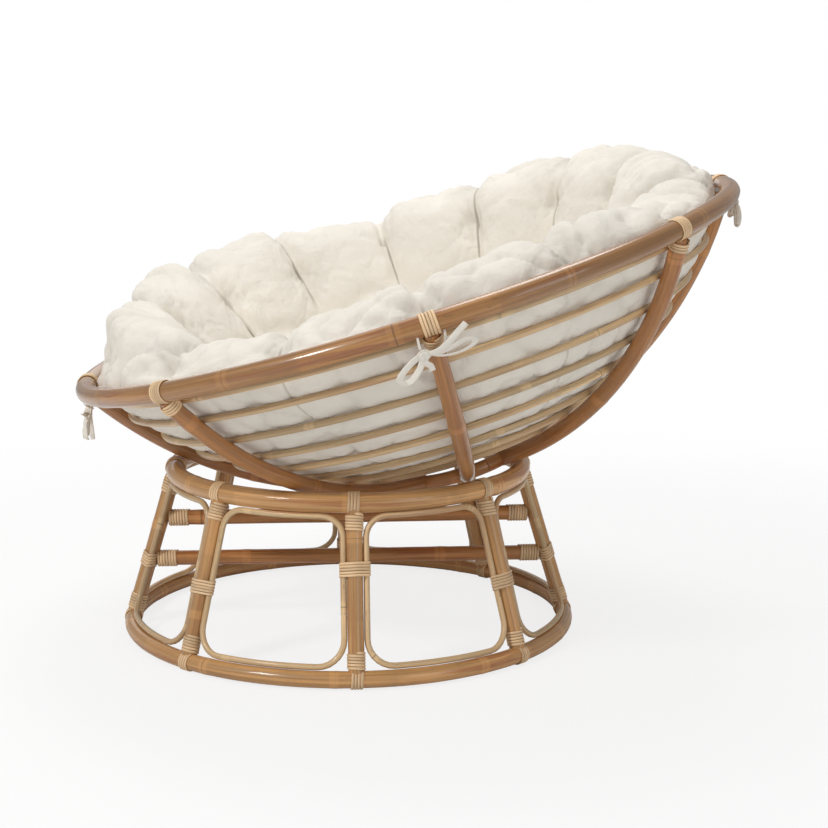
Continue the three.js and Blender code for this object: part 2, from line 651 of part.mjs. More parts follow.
function bowl() {
  const group = new THREE.Group();
  group.add(piece('rim', ring(RIM_RADIUS, RIM_THICKNESS / 2, -rimDrop, TUBE_SIDES, RIM_SEGMENTS), rimMaterial));
  group.add(piece('centre_ring', ring(centreRingRadius, CENTRE_RING_THICKNESS / 2, centreRingHeight,
    TUBE_SIDES, CENTRE_RING_SEGMENTS), ribMaterial));
  const ribGeometry = rib();
  for (let index = 0; index < RIB_COUNT; index += 1) {
    group.add(piece(`rib_${index + 1}`, ribGeometry, ribMaterial, (index * 2 * Math.PI) / RIB_COUNT));
  }
  for (let index = 0; index < HOOP_COUNT; index += 1) {
    group.add(piece(`hoop_${index + 1}`, hoop(index), paleMaterial));
  }
  group.add(piece('cushion', cushion(), clothMaterial));
  const tieGeometry = tie();
  for (let index = 0; index < TIE_COUNT; index += 1) {
    group.add(piece(`tie_${index + 1}`, tieGeometry, clothMaterial, (index * 2 * Math.PI) / TIE_COUNT));
  }
  group.position.z = sphereHeight;
  group.rotation.x = BOWL_TILT;
  return group;
}

const chair = new THREE.Group();
chair.add(stand(), bowl());

// The origin goes under the middle of the bounding box
const bounds = new THREE.Box3().setFromObject(chair, true);
const middle = bounds.getCenter(new THREE.Vector3());
chair.position.set(-middle.x, -middle.y, -bounds.min.z);

export default chair;
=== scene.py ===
"""Papasan chair: a bent cane bowl with a tufted cushion, tilted in a drum-shaped cane stand."""

import json
import math

import bpy
import numpy as np
from mathutils import Matrix, Vector, noise


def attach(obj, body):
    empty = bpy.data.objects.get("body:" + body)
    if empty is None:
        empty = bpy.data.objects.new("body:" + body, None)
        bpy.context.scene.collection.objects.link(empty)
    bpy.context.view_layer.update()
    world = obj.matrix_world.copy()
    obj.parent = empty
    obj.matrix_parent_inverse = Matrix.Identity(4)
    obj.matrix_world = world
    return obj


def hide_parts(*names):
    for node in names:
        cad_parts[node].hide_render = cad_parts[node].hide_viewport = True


bl_info = {
    "name": "Papasan Chair",
    "version": (1, 0, 0),
    "blender": (4, 5, 0),
    "location": "View3D > Sidebar > Papasan",
    "description": "Builds a cane papasan chair with a tufted cushion",
    "category": "Object",
}

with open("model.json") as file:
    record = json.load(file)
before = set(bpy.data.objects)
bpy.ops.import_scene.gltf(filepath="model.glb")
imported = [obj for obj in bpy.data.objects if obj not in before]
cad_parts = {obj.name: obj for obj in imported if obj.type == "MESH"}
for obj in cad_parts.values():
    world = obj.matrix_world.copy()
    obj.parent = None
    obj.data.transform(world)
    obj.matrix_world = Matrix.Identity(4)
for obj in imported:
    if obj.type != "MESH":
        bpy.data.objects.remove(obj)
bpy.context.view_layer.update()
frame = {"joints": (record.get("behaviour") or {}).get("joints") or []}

# The bowl tilts about the centre of its ribs' sphere, which also stands over the stand's axis
PIVOT = Vector(frame["joints"][0]["pos_m"])
STAND_FOOT = Vector((PIVOT.x, PIVOT.y, 0))
BOWL_TILT = math.radians(17.2)
UP = Vector((0, 0, 1))

IMAGE_SIZE = 828
IMAGE_FOCUS = 1745
SENSOR_WIDTH = 36
WEAVE_RADIUS = 0.4

EIGHT = range(1, 9)


def length_setting(name, description, default, high=2.0):
    """A length in metres, shown with its unit."""
    return bpy.props.FloatProperty(name=name, description=description, default=default, min=0, max=high,
                                   unit="LENGTH", precision=4)


def share_setting(name, description, default):
    """A share from nothing to all."""
    return bpy.props.FloatProperty(name=name, description=description, default=default, min=0, max=1,
                                   subtype="FACTOR")


def colour_setting(name, description, default):
    """A linear colour."""
    return bpy.props.FloatVectorProperty(name=name, description=description, default=default, min=0, max=1,
                                         size=3, subtype="COLOR")


class CaneStandSizes(bpy.types.PropertyGroup):
    """Sizes of the drum-shaped stand"""
    bottom_radius: length_setting("Bottom Ring Radius", "Radius of the floor ring's middle line", 0.355)
    bottom_thickness: length_setting("Bottom Ring Thickness", "Thickness of the floor ring", 0.025)
    top_radius: length_setting("Top Ring Radius", "Radius of the top ring's middle line", 0.281)
    top_thickness: length_setting("Top Ring Thickness", "Thickness of the top ring", 0.030)
    bottom_height: length_setting("Bottom Ring Height", "Height of the floor ring's middle line", 0.0147)
    spacing: length_setting("Ring Spacing", "Height between the two rings", 0.248)
    post_thickness: length_setting("Post Thickness", "Thickness of a post", 0.024)
    loop_thickness: length_setting("Bay Loop Thickness", "Thickness of the thin cane in each bay", 0.0092)
    loop_corner: length_setting("Bay Loop Corner", "Radius of a bay loop's corners", 0.036)
    bar_thickness: length_setting("Cross Bar Thickness", "Thickness of the two cross bars", 0.024)
    lower_bar: length_setting("Lower Bar Rise", "Height of the lower bar over the floor ring", 0.096)
    upper_bar: length_setting("Upper Bar Rise", "Height of the upper bar over the floor ring", 0.164)


class BowlSizes(bpy.types.PropertyGroup):
    """Sizes of the bowl's canes"""
    rim_radius: length_setting("Rim Radius", "Radius of the rim's middle line", 0.534)
    rim_thickness: length_setting("Rim Thickness", "Thickness of the rim", 0.030)
    rim_inset: length_setting("Rim Inset", "How far the rim stands inside the ribs' sphere", 0.007)
    rib_arc: length_setting("Rib Arc Radius", "Radius that the ribs are bent to", 0.625)
    rib_thickness: length_setting("Rib Thickness", "Thickness of a rib", 0.025)
    hoop_thickness: length_setting("Hoop Thickness", "Thickness of a thin hoop", 0.010)
    first_hoop: length_setting("First Hoop Drop", "Way down the ribs from the rim to the first hoop", 0.032)
    second_hoop: length_setting("Second Hoop Drop", "Way down the ribs from the rim to the second hoop", 0.080)
    hoop_pitch: length_setting("Hoop Pitch", "Way from one hoop to the next after that", 0.060)
    centre_radius: length_setting("Centre Ring Radius", "Radius of the ring where the ribs start", 0.092)
    centre_thickness: length_setting("Centre Ring Thickness", "Thickness of that ring", 0.022)


class LashingSizes(bpy.types.PropertyGroup):
    """Sizes of the peel that binds the canes"""
    width: length_setting("Peel Width", "Width of a strand of peel", 0.0041)
    thickness: length_setting("Peel Thickness", "Thickness of a strand of peel", 0.0019)
    pitch: length_setting("Peel Pitch", "Way from one strand to the next", 0.0045)


class CushionSizes(bpy.types.PropertyGroup):
    """Sizes of the cushion"""
    crest_height: length_setting("Crest Height", "Height of the highest crest over the rim's plane", 0.124)
    crest_radius: length_setting("Crest Radius", "Radius of the crest", 0.450)
    lean: length_setting("Low End Lean", "How far the edge leans off the rim at the low end", 0.034)
    thickness: length_setting("Thickness", "Thickness of the seat before it is puffed", 0.110)
    lobes: bpy.props.IntProperty(name="Lobes", description="Number of puffed lobes round the edge", default=14,
                                 min=4, max=40)
    seam_depth: length_setting("Seam Depth", "How far the seams are drawn in", 0.017)
    tuft_depth: length_setting("Tuft Depth", "How far the tufts are drawn in", 0.032)
    slack: share_setting("Slack", "Spare cloth of the puffed edge, which gathers into creases", 0.09)
    seat_slack: share_setting("Seat Slack", "Spare cloth of the seat and its wall", 0.022)


class Finishes(bpy.types.PropertyGroup):
    """Colours of the canes, the peel and the cloth"""
    rib_cane: colour_setting("Rib Cane", "Smoked honey cane of the ribs", (0.510, 0.222, 0.066))
    rim_cane: colour_setting("Rim Cane", "Reddish cane of the rim", (0.400, 0.190, 0.058))
    stand_cane: colour_setting("Stand Cane", "Golden cane of the stand", (0.600, 0.320, 0.118))
    pale_cane: colour_setting("Pale Cane", "Pale thin cane", (0.730, 0.500, 0.270))
    peel: colour_setting("Peel", "Pale skin of the cane, in strands", (0.820, 0.575, 0.335))
    cloth: colour_setting("Cloth", "Unbleached cotton", (0.895, 0.842, 0.750))


class Wire:
    """An output socket that sums and products can be written with."""

    def __init__(self, board, socket):
        self.board = board
        self.socket = socket

    def maths(self, operation, *values):
        return self.board.node("ShaderNodeMath", {"operation": operation}, dict(enumerate(values)))

    def __add__(self, other):
        return self.maths("ADD", self, other)

    __radd__ = __add__

    def __sub__(self, other):
        return self.maths("SUBTRACT", self, other)

    def __rsub__(self, other):
        return self.maths("SUBTRACT", other, self)

    def __mul__(self, other):
        return self.maths("MULTIPLY", self, other)

    __rmul__ = __mul__

    def __truediv__(self, other):
        return self.maths("DIVIDE", self, other)

    def __rtruediv__(self, other):
        return self.maths("DIVIDE", other, self)

    def __pow__(self, other):
        return self.maths("POWER", self, other)

    def sine(self):
        return self.maths("SINE", self)

    def size(self):
        return self.maths("ABSOLUTE", self)

    def fraction(self):
        return self.maths("FRACT", self)


class Board:
    """A node tree that is being wired up."""

    def __init__(self, tree):
        self.tree = tree

    def add(self, kind, settings=None, inputs=None):
        """A node of that type, with its settings first and then the values or links of its sockets."""
        made = self.tree.nodes.new(kind)
        for name, value in (settings or {}).items():
            if name == "stops":
                self.set_stops(made.color_ramp, value)
            else:
                setattr(made, name, value)
        for name, value in (inputs or {}).items():
            self.plug(value, made.inputs[name])
        return made

    def node(self, kind, settings=None, inputs=None, output=0):
        made = self.add(kind, settings, inputs)
        return Wire(self, made.outputs[output])

    def plug(self, value, socket):
        if isinstance(value, Wire):
            self.tree.links.new(value.socket, socket)
        else:
            socket.default_value = value

    @staticmethod
    def set_stops(ramp, stops):
        while len(ramp.elements) < len(stops):
            ramp.elements.new(1.0)
        for element, (place, colour) in zip(ramp.elements, stops):
            element.position = place
            element.color = colour

    def blend(self, share, first, second, way="MIX"):
        """Mixes two colours."""
        made = self.tree.nodes.new("ShaderNodeMix")
        made.data_type = "RGBA"
        made.blend_type = way
        for index, value in ((0, share), (6, first), (7, second)):
            self.plug(value, made.inputs[index])
        return Wire(self, made.outputs[2])

    def vector(self, operation, *values):
        return self.node("ShaderNodeVectorMath", {"operation": operation}, dict(enumerate(values)))

    def noise(self, vector, scale, detail=2.0, roughness=0.5, distortion=0.0):
        return self.node("ShaderNodeTexNoise", {}, {
            "Vector": vector, "Scale": scale, "Detail": detail, "Roughness": roughness, "Distortion": distortion})

    def ramp(self, value, low, high):
        """Nought below low, one above high and smooth between."""
        return self.node("ShaderNodeMapRange", {"interpolation_type": "SMOOTHSTEP"}, {
            "Value": value, "From Min": low, "From Max": high})


# ---- materials


def painted(name, build):
    """A material whose Principled shader is filled in by build(board, shader)."""
    material = bpy.data.materials.new(name)
    material.use_nodes = True
    tree = material.node_tree
    tree.nodes.clear()
    board = Board(tree)
    output = board.add("ShaderNodeOutputMaterial")
    shader = board.add("ShaderNodeBsdfPrincipled")
    tree.links.new(shader.outputs[0], output.inputs["Surface"])
    build(board, shader)
    return material


def tint(colour, factor):
    """A colour made darker or lighter, as a shader takes it."""
    return tuple(min(part * factor, 1.0) for part in colour) + (1.0,)


def cane(name, colour, gloss=0.5, smoke=0.35):
    """Varnished cane: long streaks, blotches of smoke, dark growth rings with a pale band, and a fine fibre."""

    def build(board, shader):
        grain = board.node("ShaderNodeAttribute", {"attribute_name": "grain"}, output="Vector")
        ring = board.node("ShaderNodeAttribute", {"attribute_name": "growth_ring"}, output="Fac")
        tone = board.node("ShaderNodeAttribute", {"attribute_name": "tone"}, output="Fac")
        internode = board.node("ShaderNodeAttribute", {"attribute_name": "internode"}, output="Fac")
        place = board.node("ShaderNodeTexCoord", output="Object")
        long_grain = board.vector("MULTIPLY", grain, (2.2, 150.0, 150.0))
        fine_grain = board.vector("MULTIPLY", grain, (9.0, 620.0, 620.0))
        streak = board.noise(long_grain, 1.0, 4.0, 0.62)
        fibre = board.noise(fine_grain, 1.0, 3.0, 0.6)
        blotch = board.noise(place, 9.0, 4.0, 0.6, 0.4)
        fleck = board.noise(board.vector("MULTIPLY", grain, (45.0, 260.0, 260.0)), 1.0, 3.0, 0.55)
        base = board.blend(board.ramp(streak, 0.32, 0.70), tint(colour, 0.64), tint(colour, 1.36))
        stain = board.noise(board.vector("MULTIPLY", grain, (4.0, 84.0, 84.0)), 1.0, 3.0, 0.55, 0.5)
        stained = (colour[0] * 0.62, colour[1] * 0.36, colour[2] * 0.26, 1.0)
        base = board.blend(board.ramp(stain, 0.51, 0.64) * (0.35 + smoke), base, stained)
        base = board.blend(board.ramp(blotch, 0.50, 0.74) * smoke, base, tint(colour, 0.42))
        base = board.blend(board.ramp(fibre, 0.40, 0.75) * 0.30, base, tint(colour, 1.7))
        base = board.blend(board.ramp(fleck, 0.64, 0.72) * 0.45, base, tint(colour, 0.38))
        base = board.blend(tone * 0.5, base, tint(colour, 0.60))
        base = board.blend(internode * 0.45, base, tint(colour, 0.62))
        base = board.blend(board.ramp(ring, 0.25, 0.55) * 0.30, base, tint(colour, 1.45))
        base = board.blend(board.ramp(ring, 0.88, 0.98) * 0.6, base, tint(colour, 0.22))
        board.plug(base, shader.inputs["Base Color"])
        board.plug(0.26 + 0.22 * streak + 0.14 * fleck, shader.inputs["Roughness"])
        shader.inputs["Coat Weight"].default_value = gloss
        shader.inputs["Coat Roughness"].default_value = 0.13
        height = streak * 0.35 + fibre * 0.35 + fleck * 0.3
        bump = board.node("ShaderNodeBump", {}, {"Strength": 0.6, "Distance": 0.0011, "Height": height})
        board.plug(bump, shader.inputs["Normal"])

    return painted(name, build)


def peel_strand(name, colour):
    """Cane peel: pale flat strands with fibres along them."""

    def build(board, shader):
        grain = board.node("ShaderNodeAttribute", {"attribute_name": "grain"}, output="Vector")
        tone = board.node("ShaderNodeAttribute", {"attribute_name": "tone"}, output="Fac")
        fibre = board.noise(board.vector("MULTIPLY", grain, (14.0, 1400.0, 1400.0)), 1.0, 3.0, 0.6)
        streak = board.noise(board.vector("MULTIPLY", grain, (5.0, 320.0, 320.0)), 1.0, 2.0)
        base = board.blend(board.ramp(streak, 0.3, 0.7), tint(colour, 0.80), tint(colour, 1.20))
        base = board.blend(board.ramp(fibre, 0.45, 0.7) * 0.35, base, tint(colour, 0.5))
        base = board.blend(tone * 0.35, base, tint(colour, 0.62))
        board.plug(base, shader.inputs["Base Color"])
        board.plug(0.42 + 0.2 * fibre, shader.inputs["Roughness"])
        shader.inputs["Coat Weight"].default_value = 0.15
        shader.inputs["Coat Roughness"].default_value = 0.35
        bump = board.node("ShaderNodeBump", {}, {"Strength": 0.5, "Distance": 0.0005, "Height": fibre})
        board.plug(bump, shader.inputs["Normal"])

    return painted(name, build)


def cotton(name, colour, panel, thread=0.0011):
    """Unbleached cotton: a plain weave over soft mottling, with fine creases in the cloth, painted shade deep in its
    folds and a painted shade line along each seam.
    """

    def build(board, shader):
        place = board.node("ShaderNodeTexCoord", output="Object")
        spot = board.node("ShaderNodeUVMap", {"uv_map": "weave"})
        parts = board.add("ShaderNodeSeparateXYZ", {}, {"Vector": spot})
        across, along = (Wire(board, parts.outputs[axis]) for axis in ("X", "Y"))
        turn = 2 * math.pi / thread
        warp = (across * turn).sine()
        weft = (along * turn).sine()
        weave = (warp * weft) * 0.5 + 0.5
        slub = board.noise(board.vector("MULTIPLY", spot, (60.0, 900.0, 1.0)), 1.0, 2.0)
        mottle = board.noise(place, 7.0, 4.0, 0.6)
        crease = (board.noise(place, 21.0, 2.0, 0.55, 0.9) - 0.5).size()
        small_crease = (board.noise(place, 48.0, 2.0, 0.5, 0.7) - 0.5).size()
        fine = board.noise(place, 90.0, 3.0, 0.6, 0.6)
        base = board.blend(board.ramp(mottle, 0.35, 0.7), tint(colour, 0.955), tint(colour, 1.03))
        base = board.blend(board.ramp(slub, 0.56, 0.8) * 0.25, base, tint(colour, 0.90))
        base = board.blend((1 - weave) * 0.10, base, tint(colour, 0.84))
        fold = board.node("ShaderNodeAttribute", {"attribute_name": "fold"}, output="Fac")
        stitched = board.node("ShaderNodeAttribute", {"attribute_name": "stitched"}, output="Fac")
        # Painted shade: a thin dark line along each seam, where its groove lies in shade.
        beside = ((across / panel).fraction() - 0.5).size() * panel
        line = stitched * board.ramp(0.5 * panel - beside, 0.0024, 0.0006)
        # Painted shade: the cloth is darker deep in its folds, where shade falls.
        base = board.blend(fold * 0.30, base, tint(colour, 0.50))
        base = board.blend(line * 0.62, base, (colour[0] * 0.36, colour[1] * 0.31, colour[2] * 0.25, 1.0))
        board.plug(base, shader.inputs["Base Color"])
        board.plug(0.86 + 0.1 * fine, shader.inputs["Roughness"])
        shader.inputs["Sheen Weight"].default_value = 0.12
        shader.inputs["Sheen Roughness"].default_value = 0.6
        height = crease * 1.5 + small_crease * 0.55 + fine * 0.14 + weave * 0.045 + slub * 0.03 - line * 0.6
        bump = board.node("ShaderNodeBump", {}, {"Strength": 0.55, "Distance": 0.006, "Height": height})
        board.plug(bump, shader.inputs["Normal"])

    return painted(name, build)


# ---- sweeping canes and strands along paths


def build_sweep_tree():
    """A tree that sweeps a cane or strand along every path of a mesh of edges, with growth rings and a slight wander."""
    tree = bpy.data.node_groups.new("Cane Along Paths", "GeometryNodeTree")
    face = tree.interface
    face.new_socket(name="Geometry", in_out="INPUT", socket_type="NodeSocketGeometry")
    for name, kind, default in (
            ("Width", "NodeSocketFloat", 0.02), ("Thickness", "NodeSocketFloat", 0.02), ("Sides", "NodeSocketInt", 16),
            ("Wander", "NodeSocketFloat", 0.0), ("Ring Spacing", "NodeSocketFloat", 0.3),
            ("Ring Swell", "NodeSocketFloat", 0.0), ("Seed", "NodeSocketFloat", 0.0),
            ("Material", "NodeSocketMaterial", None)):
        socket = face.new_socket(name=name, in_out="INPUT", socket_type=kind)
        if default is not None:
            socket.default_value = default
    face.new_socket(name="Geometry", in_out="OUTPUT", socket_type="NodeSocketGeometry")
    board = Board(tree)
    entry = tree.nodes.new("NodeGroupInput")
    given = {socket.name: Wire(board, socket) for socket in entry.outputs if socket.name}

    curve = board.node("GeometryNodeMeshToCurve", {}, {"Mesh": given["Geometry"]})
    facing = board.node("GeometryNodeInputNamedAttribute", {"data_type": "FLOAT_VECTOR"}, {"Name": "facing"})
    curve = board.node("GeometryNodeSetCurveNormal", {"mode": "FREE"}, {"Curve": curve, "Normal": facing})
    path = board.node("GeometryNodeInputNamedAttribute", {"data_type": "FLOAT"}, {"Name": "path"})
    along = board.node("GeometryNodeSplineParameter", output="Length")
    spot = board.node("ShaderNodeCombineXYZ", {}, {0: along, 1: path * 7.31, 2: given["Seed"]})
    drift = board.noise(spot, 3.0, 1.0)
    drift_vector = board.node("ShaderNodeTexNoise", {}, {"Vector": spot, "Scale": 4.0, "Detail": 1.0}, output="Color")
    offset = board.vector("SUBTRACT", drift_vector, (0.5, 0.5, 0.5))
    wander = board.node("ShaderNodeVectorMath", {"operation": "SCALE"}, {"Vector": offset, "Scale": given["Wander"]})
    curve = board.node("GeometryNodeSetPosition", {}, {"Geometry": curve, "Offset": wander})

    spaced = along / given["Ring Spacing"] + drift * 0.9 + path * 0.37 + given["Seed"]
    nearness = ((spaced.fraction() - 0.5).size() * given["Ring Spacing"]) / 0.006
    ring = 1 / (1 + nearness ** 2)
    count = board.node("ShaderNodeMath", {"operation": "FLOOR"}, {0: spaced})
    internode = board.node("ShaderNodeTexWhiteNoise", {"noise_dimensions": "2D"}, {
        "Vector": board.node("ShaderNodeCombineXYZ", {}, {0: count, 1: path + given["Seed"]})})
    girth = board.node("GeometryNodeInputNamedAttribute", {"data_type": "FLOAT"}, {"Name": "girth"})
    radius = girth * (1 + ring * given["Ring Swell"] + (drift - 0.5) * given["Ring Swell"])
    curve = board.node("GeometryNodeSetCurveRadius", {}, {"Curve": curve, "Radius": radius})

    circle = board.node("GeometryNodeCurvePrimitiveCircle", {}, {"Resolution": given["Sides"], "Radius": 0.5})
    stretch = board.node("ShaderNodeCombineXYZ", {}, {0: given["Thickness"], 1: given["Width"], 2: 1.0})
    circle = board.node("GeometryNodeTransform", {}, {"Geometry": circle, "Scale": stretch})
    place = board.node("GeometryNodeInputPosition")
    curve, along_kept = capture(board, curve, along, "FLOAT")
    curve, ring_kept = capture(board, curve, ring, "FLOAT")
    circle, profile_kept = capture(board, circle, place, "FLOAT_VECTOR")
    curve, path_kept = capture(board, curve, path, "FLOAT")
    curve, internode_kept = capture(board, curve, internode, "FLOAT")
    body = board.node("GeometryNodeCurveToMesh", {}, {
        "Curve": curve, "Profile Curve": circle, "Scale": radius, "Fill Caps": True})
    parts = board.add("ShaderNodeSeparateXYZ", {}, {"Vector": profile_kept})
    depth, side = (Wire(board, parts.outputs[axis]) for axis in ("X", "Y"))
    grain = board.node("ShaderNodeCombineXYZ", {}, {0: along_kept + path_kept * 3.7 + given["Seed"], 1: side, 2: depth})
    body = store(board, body, "grain", grain, "FLOAT_VECTOR")
    body = store(board, body, "growth_ring", ring_kept, "FLOAT")
    body = store(board, body, "internode", internode_kept, "FLOAT")
    body = board.node("GeometryNodeRealizeInstances", {}, {"Geometry": body})
    body = board.node("GeometryNodeSetShadeSmooth", {}, {"Geometry": body, "Shade Smooth": True})
    body = board.node("GeometryNodeSetMaterial", {}, {"Geometry": body, "Material": given["Material"]})
    output = tree.nodes.new("NodeGroupOutput")
    board.plug(body, output.inputs[0])
    return tree


def capture(board, geometry, value, kind):
    """Keeps a value on a geometry, to be read after it has changed."""
    node = board.tree.nodes.new("GeometryNodeCaptureAttribute")
    node.capture_items.new({"FLOAT_VECTOR": "VECTOR"}.get(kind, kind), "Kept")
    board.plug(geometry, node.inputs["Geometry"])
    board.plug(value, node.inputs["Kept"])
    return Wire(board, node.outputs["Geometry"]), Wire(board, node.outputs["Kept"])


def store(board, geometry, name, value, kind):
    return board.node("GeometryNodeStoreNamedAttribute", {"data_type": kind, "domain": "POINT"},
                      {"Geometry": geometry, "Name": name, "Value": value})


def path_object(name, paths):
    """An object of edges: each path is (points, facings, girths)."""
    points, edges, facings, girths, numbers, tones = [], [], [], [], [], []
    for number, path in enumerate(paths):
        start = len(points)
        count = len(path["points"])
        points.extend(tuple(point) for point in path["points"])
        facings.extend(tuple(facing) for facing in path["facings"])
        girths.extend(path.get("girths", [1.0] * count))
        numbers.extend([float(number)] * count)
        tones.extend([path.get("tone", 0.0)] * count)
        edges.extend((start + step, start + step + 1) for step in range(count - 1))
    mesh = bpy.data.meshes.new(name)
    mesh.from_pydata(points, edges, [])
    mesh.attributes.new("facing", "FLOAT_VECTOR", "POINT").data.foreach_set("vector", np.ravel(facings))
    mesh.attributes.new("girth", "FLOAT", "POINT").data.foreach_set("value", girths)
    mesh.attributes.new("path", "FLOAT", "POINT").data.foreach_set("value", numbers)
    mesh.attributes.new("tone", "FLOAT", "POINT").data.foreach_set("value", tones)
    made = bpy.data.objects.new(name, mesh)
    bpy.context.scene.collection.objects.link(made)
    return made


def sweep(name, paths, body, material, slot, replaced=(), **values):
    """Sweeps the paths with the cane tree, keeps the result as a plain mesh and ties it to its body."""
    made = path_object(name, paths)
    tree = bpy.data.node_groups.get("Cane Along Paths") or build_sweep_tree()
    modifier = made.modifiers.new("Sweep", "NODES")
    modifier.node_group = tree
    identifiers = {socket.name: socket.identifier for socket in tree.interface.items_tree
                   if socket.item_type == "SOCKET" and socket.in_out == "INPUT"}
    values = {key.replace("_", " ").title(): value for key, value in values.items()}
    values["Material"] = material
    for key, value in values.items():
        modifier[identifiers[key]] = value
    depsgraph = bpy.context.evaluated_depsgraph_get()
    evaluated = made.evaluated_get(depsgraph)
    mesh = bpy.data.meshes.new_from_object(evaluated, preserve_all_data_layers=True, depsgraph=depsgraph)
    made.modifiers.remove(modifier)
    paths_mesh = made.data
    made.data = mesh
    bpy.data.meshes.remove(paths_mesh)
    mesh.name = name
    finish_piece(made, body, replaced)
    return made


def finish_piece(made, body, replaced):
    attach(made, body)
    if replaced:
        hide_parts(*replaced)


# ---- paths of the stand, round the stand's upright axis


def on_axis(azimuth, radius, height):
    """A point round the stand's axis."""
    return Vector((STAND_FOOT.x + radius * math.cos(azimuth), STAND_FOOT.y + radius * math.sin(azimuth), height))


def outward(azimuth):
    return Vector((math.cos(azimuth), math.sin(azimuth), 0))


def sideways(azimuth):
    return Vector((-math.sin(azimuth), math.cos(azimuth), 0))


def azimuth_of(number, count=8):
    return 2 * math.pi * (number - 1) / count


class StandPlan:
    """Where the stand's canes run, from its sizes."""

    def __init__(self, sizes):
        self.sizes = sizes
        self.top_height = sizes.bottom_height + sizes.spacing
        self.lean = math.atan2(sizes.bottom_radius - sizes.top_radius, sizes.spacing)
        self.post_length = math.hypot(sizes.bottom_radius - sizes.top_radius, sizes.spacing)

    def post_axis(self, azimuth):
        foot = on_axis(azimuth, self.sizes.bottom_radius, self.sizes.bottom_height)
        head = on_axis(azimuth, self.sizes.top_radius, self.top_height)
        return foot, (head - foot).normalized()

    def cone_radius(self, rise):
        share = rise / self.post_length
        return self.sizes.bottom_radius + (self.sizes.top_radius - self.sizes.bottom_radius) * share

    def on_cone(self, bay, arc, rise):
        """A point on the stand's cone: along the arc from the middle of a bay, and up the slope."""
        radius = self.cone_radius(rise)
        height = self.sizes.bottom_height + self.sizes.spacing * rise / self.post_length
        return on_axis(bay + arc / radius, radius, height)

    def cone_normal(self, azimuth):
        return (outward(azimuth) * math.cos(self.lean) + UP * math.sin(self.lean)).normalized()


def ring_path(place, normal, start, steps=440, tone=0.0):
    """A ring that starts and ends at one azimuth, where its ends butt."""
    azimuths = [start + 2 * math.pi * step / steps for step in range(steps + 1)]
    return {"points": [place(azimuth) for azimuth in azimuths], "facings": [normal(azimuth) for azimuth in azimuths],
            "tone": tone}


def straight_path(foot, head, facing, steps=48, girths=None, tone=0.0):
    points = [foot.lerp(head, step / steps) for step in range(steps + 1)]
    return {"points": points, "facings": [facing] * (steps + 1), "girths": girths or [1.0] * (steps + 1), "tone": tone}


def rounded_corners(corners, radius, arc_steps=7, side_steps=10):
    """The outline of a polygon with rounded corners, as flat points."""
    points = []
    count = len(corners)
    for index, corner in enumerate(corners):
        before = (corners[index - 1] - corner).normalized()
        after = (corners[(index + 1) % count] - corner).normalized()
        half = math.acos(before.dot(after)) / 2
        bisector = (before + after).normalized()
        centre = corner + bisector * (radius / math.sin(half))
        sweep_angle = math.pi / 2 - half
        for step in range(arc_steps + 1):
            turn = sweep_angle * (2 * step / arc_steps - 1)
            spoke = -bisector
            spoke = Vector((spoke.x * math.cos(turn) - spoke.y * math.sin(turn),
                            spoke.x * math.sin(turn) + spoke.y * math.cos(turn)))
            points.append(centre + spoke * radius)
    finer = []
    for index, point in enumerate(points):
        following = points[(index + 1) % len(points)]
        pieces = max(1, round((following - point).length / 0.006))
        finer.extend(point.lerp(following, piece / pieces) for piece in range(pieces))
    return finer


def helix(axis_point, start_facing, side_facing, reach, pitch, turns, along, steps=22, start=0.0, tuck=0.35):
    """A strand wound round an axis: reach(angle) gives how far its middle stands out."""
    points, facings, girths = [], [], []
    total = int(round(turns * steps))
    for step in range(total + 1):
        angle = start + 2 * math.pi * step / steps
        spoke = start_facing * math.cos(angle) + side_facing * math.sin(angle)
        offset = reach(angle)
        points.append(axis_point + spoke * offset + along * (pitch * (step / steps - turns / 2)))
        facings.append(spoke)
        girths.append(1.0)
    girths[0] = girths[-1] = tuck
    return {"points": points, "facings": facings, "girths": girths}


# ---- strands over a ring and round a bar


def strands_over_ring(ring_point, ring_normal, ring_along, bore, lash, count, middle_azimuth, radius, start=0.0):
    """Strands that pass round a ring's section side by side: one winding whose axis is the ring's own line."""
    points, facings, girths = [], [], []
    steps = 20
    total = count * steps
    for step in range(total + 1):
        angle = start + 2 * math.pi * step / steps
        azimuth = middle_azimuth + lash.pitch * (step / steps - count / 2) / radius
        spoke = ring_normal(azimuth) * math.cos(angle) + ring_along(azimuth) * math.sin(angle)
        points.append(ring_point(azimuth) + spoke * (bore + lash.thickness / 2))
        facings.append(spoke)
        girths.append(1.0)
    girths[0] = girths[-1] = 0.4
    return {"points": points, "facings": facings, "girths": girths}


# ---- paths of the bowl, in its own frame and then tilted into the stand


def bowl_point(azimuth, angle, distance):
    """A point of the bowl: round it, up from its lowest point, and out from the sphere's centre."""
    place = Vector((distance * math.sin(angle) * math.cos(azimuth), distance * math.sin(angle) * math.sin(azimuth),
                    -distance * math.cos(angle)))
    return PIVOT + Matrix.Rotation(BOWL_TILT, 3, "X") @ place


def bowl_facing(azimuth, angle):
    return (bowl_point(azimuth, angle, 1.0) - PIVOT).normalized()


def tilted(vector):
    return Matrix.Rotation(BOWL_TILT, 3, "X") @ Vector(vector)


class BowlPlan:
    """Where the bowl's canes run, from its sizes."""

    def __init__(self, sizes):
        self.sizes = sizes
        self.rim_arc = sizes.rib_arc - sizes.rim_inset
        self.rim_angle = math.asin(sizes.rim_radius / self.rim_arc)
        self.rim_drop = self.rim_arc * math.cos(self.rim_angle)
        self.centre_angle = math.asin(sizes.centre_radius / sizes.rib_arc)
        self.hoop_arc = sizes.rib_arc - (sizes.rib_thickness + sizes.hoop_thickness) / 2 - 0.0009
        self.lining = self.hoop_arc - sizes.hoop_thickness / 2

    def hoop_angle(self, index):
        drop = self.sizes.first_hoop if index == 0 else self.sizes.second_hoop + (index - 1) * self.sizes.hoop_pitch
        return self.rim_angle - drop / self.hoop_arc


# ---- operators


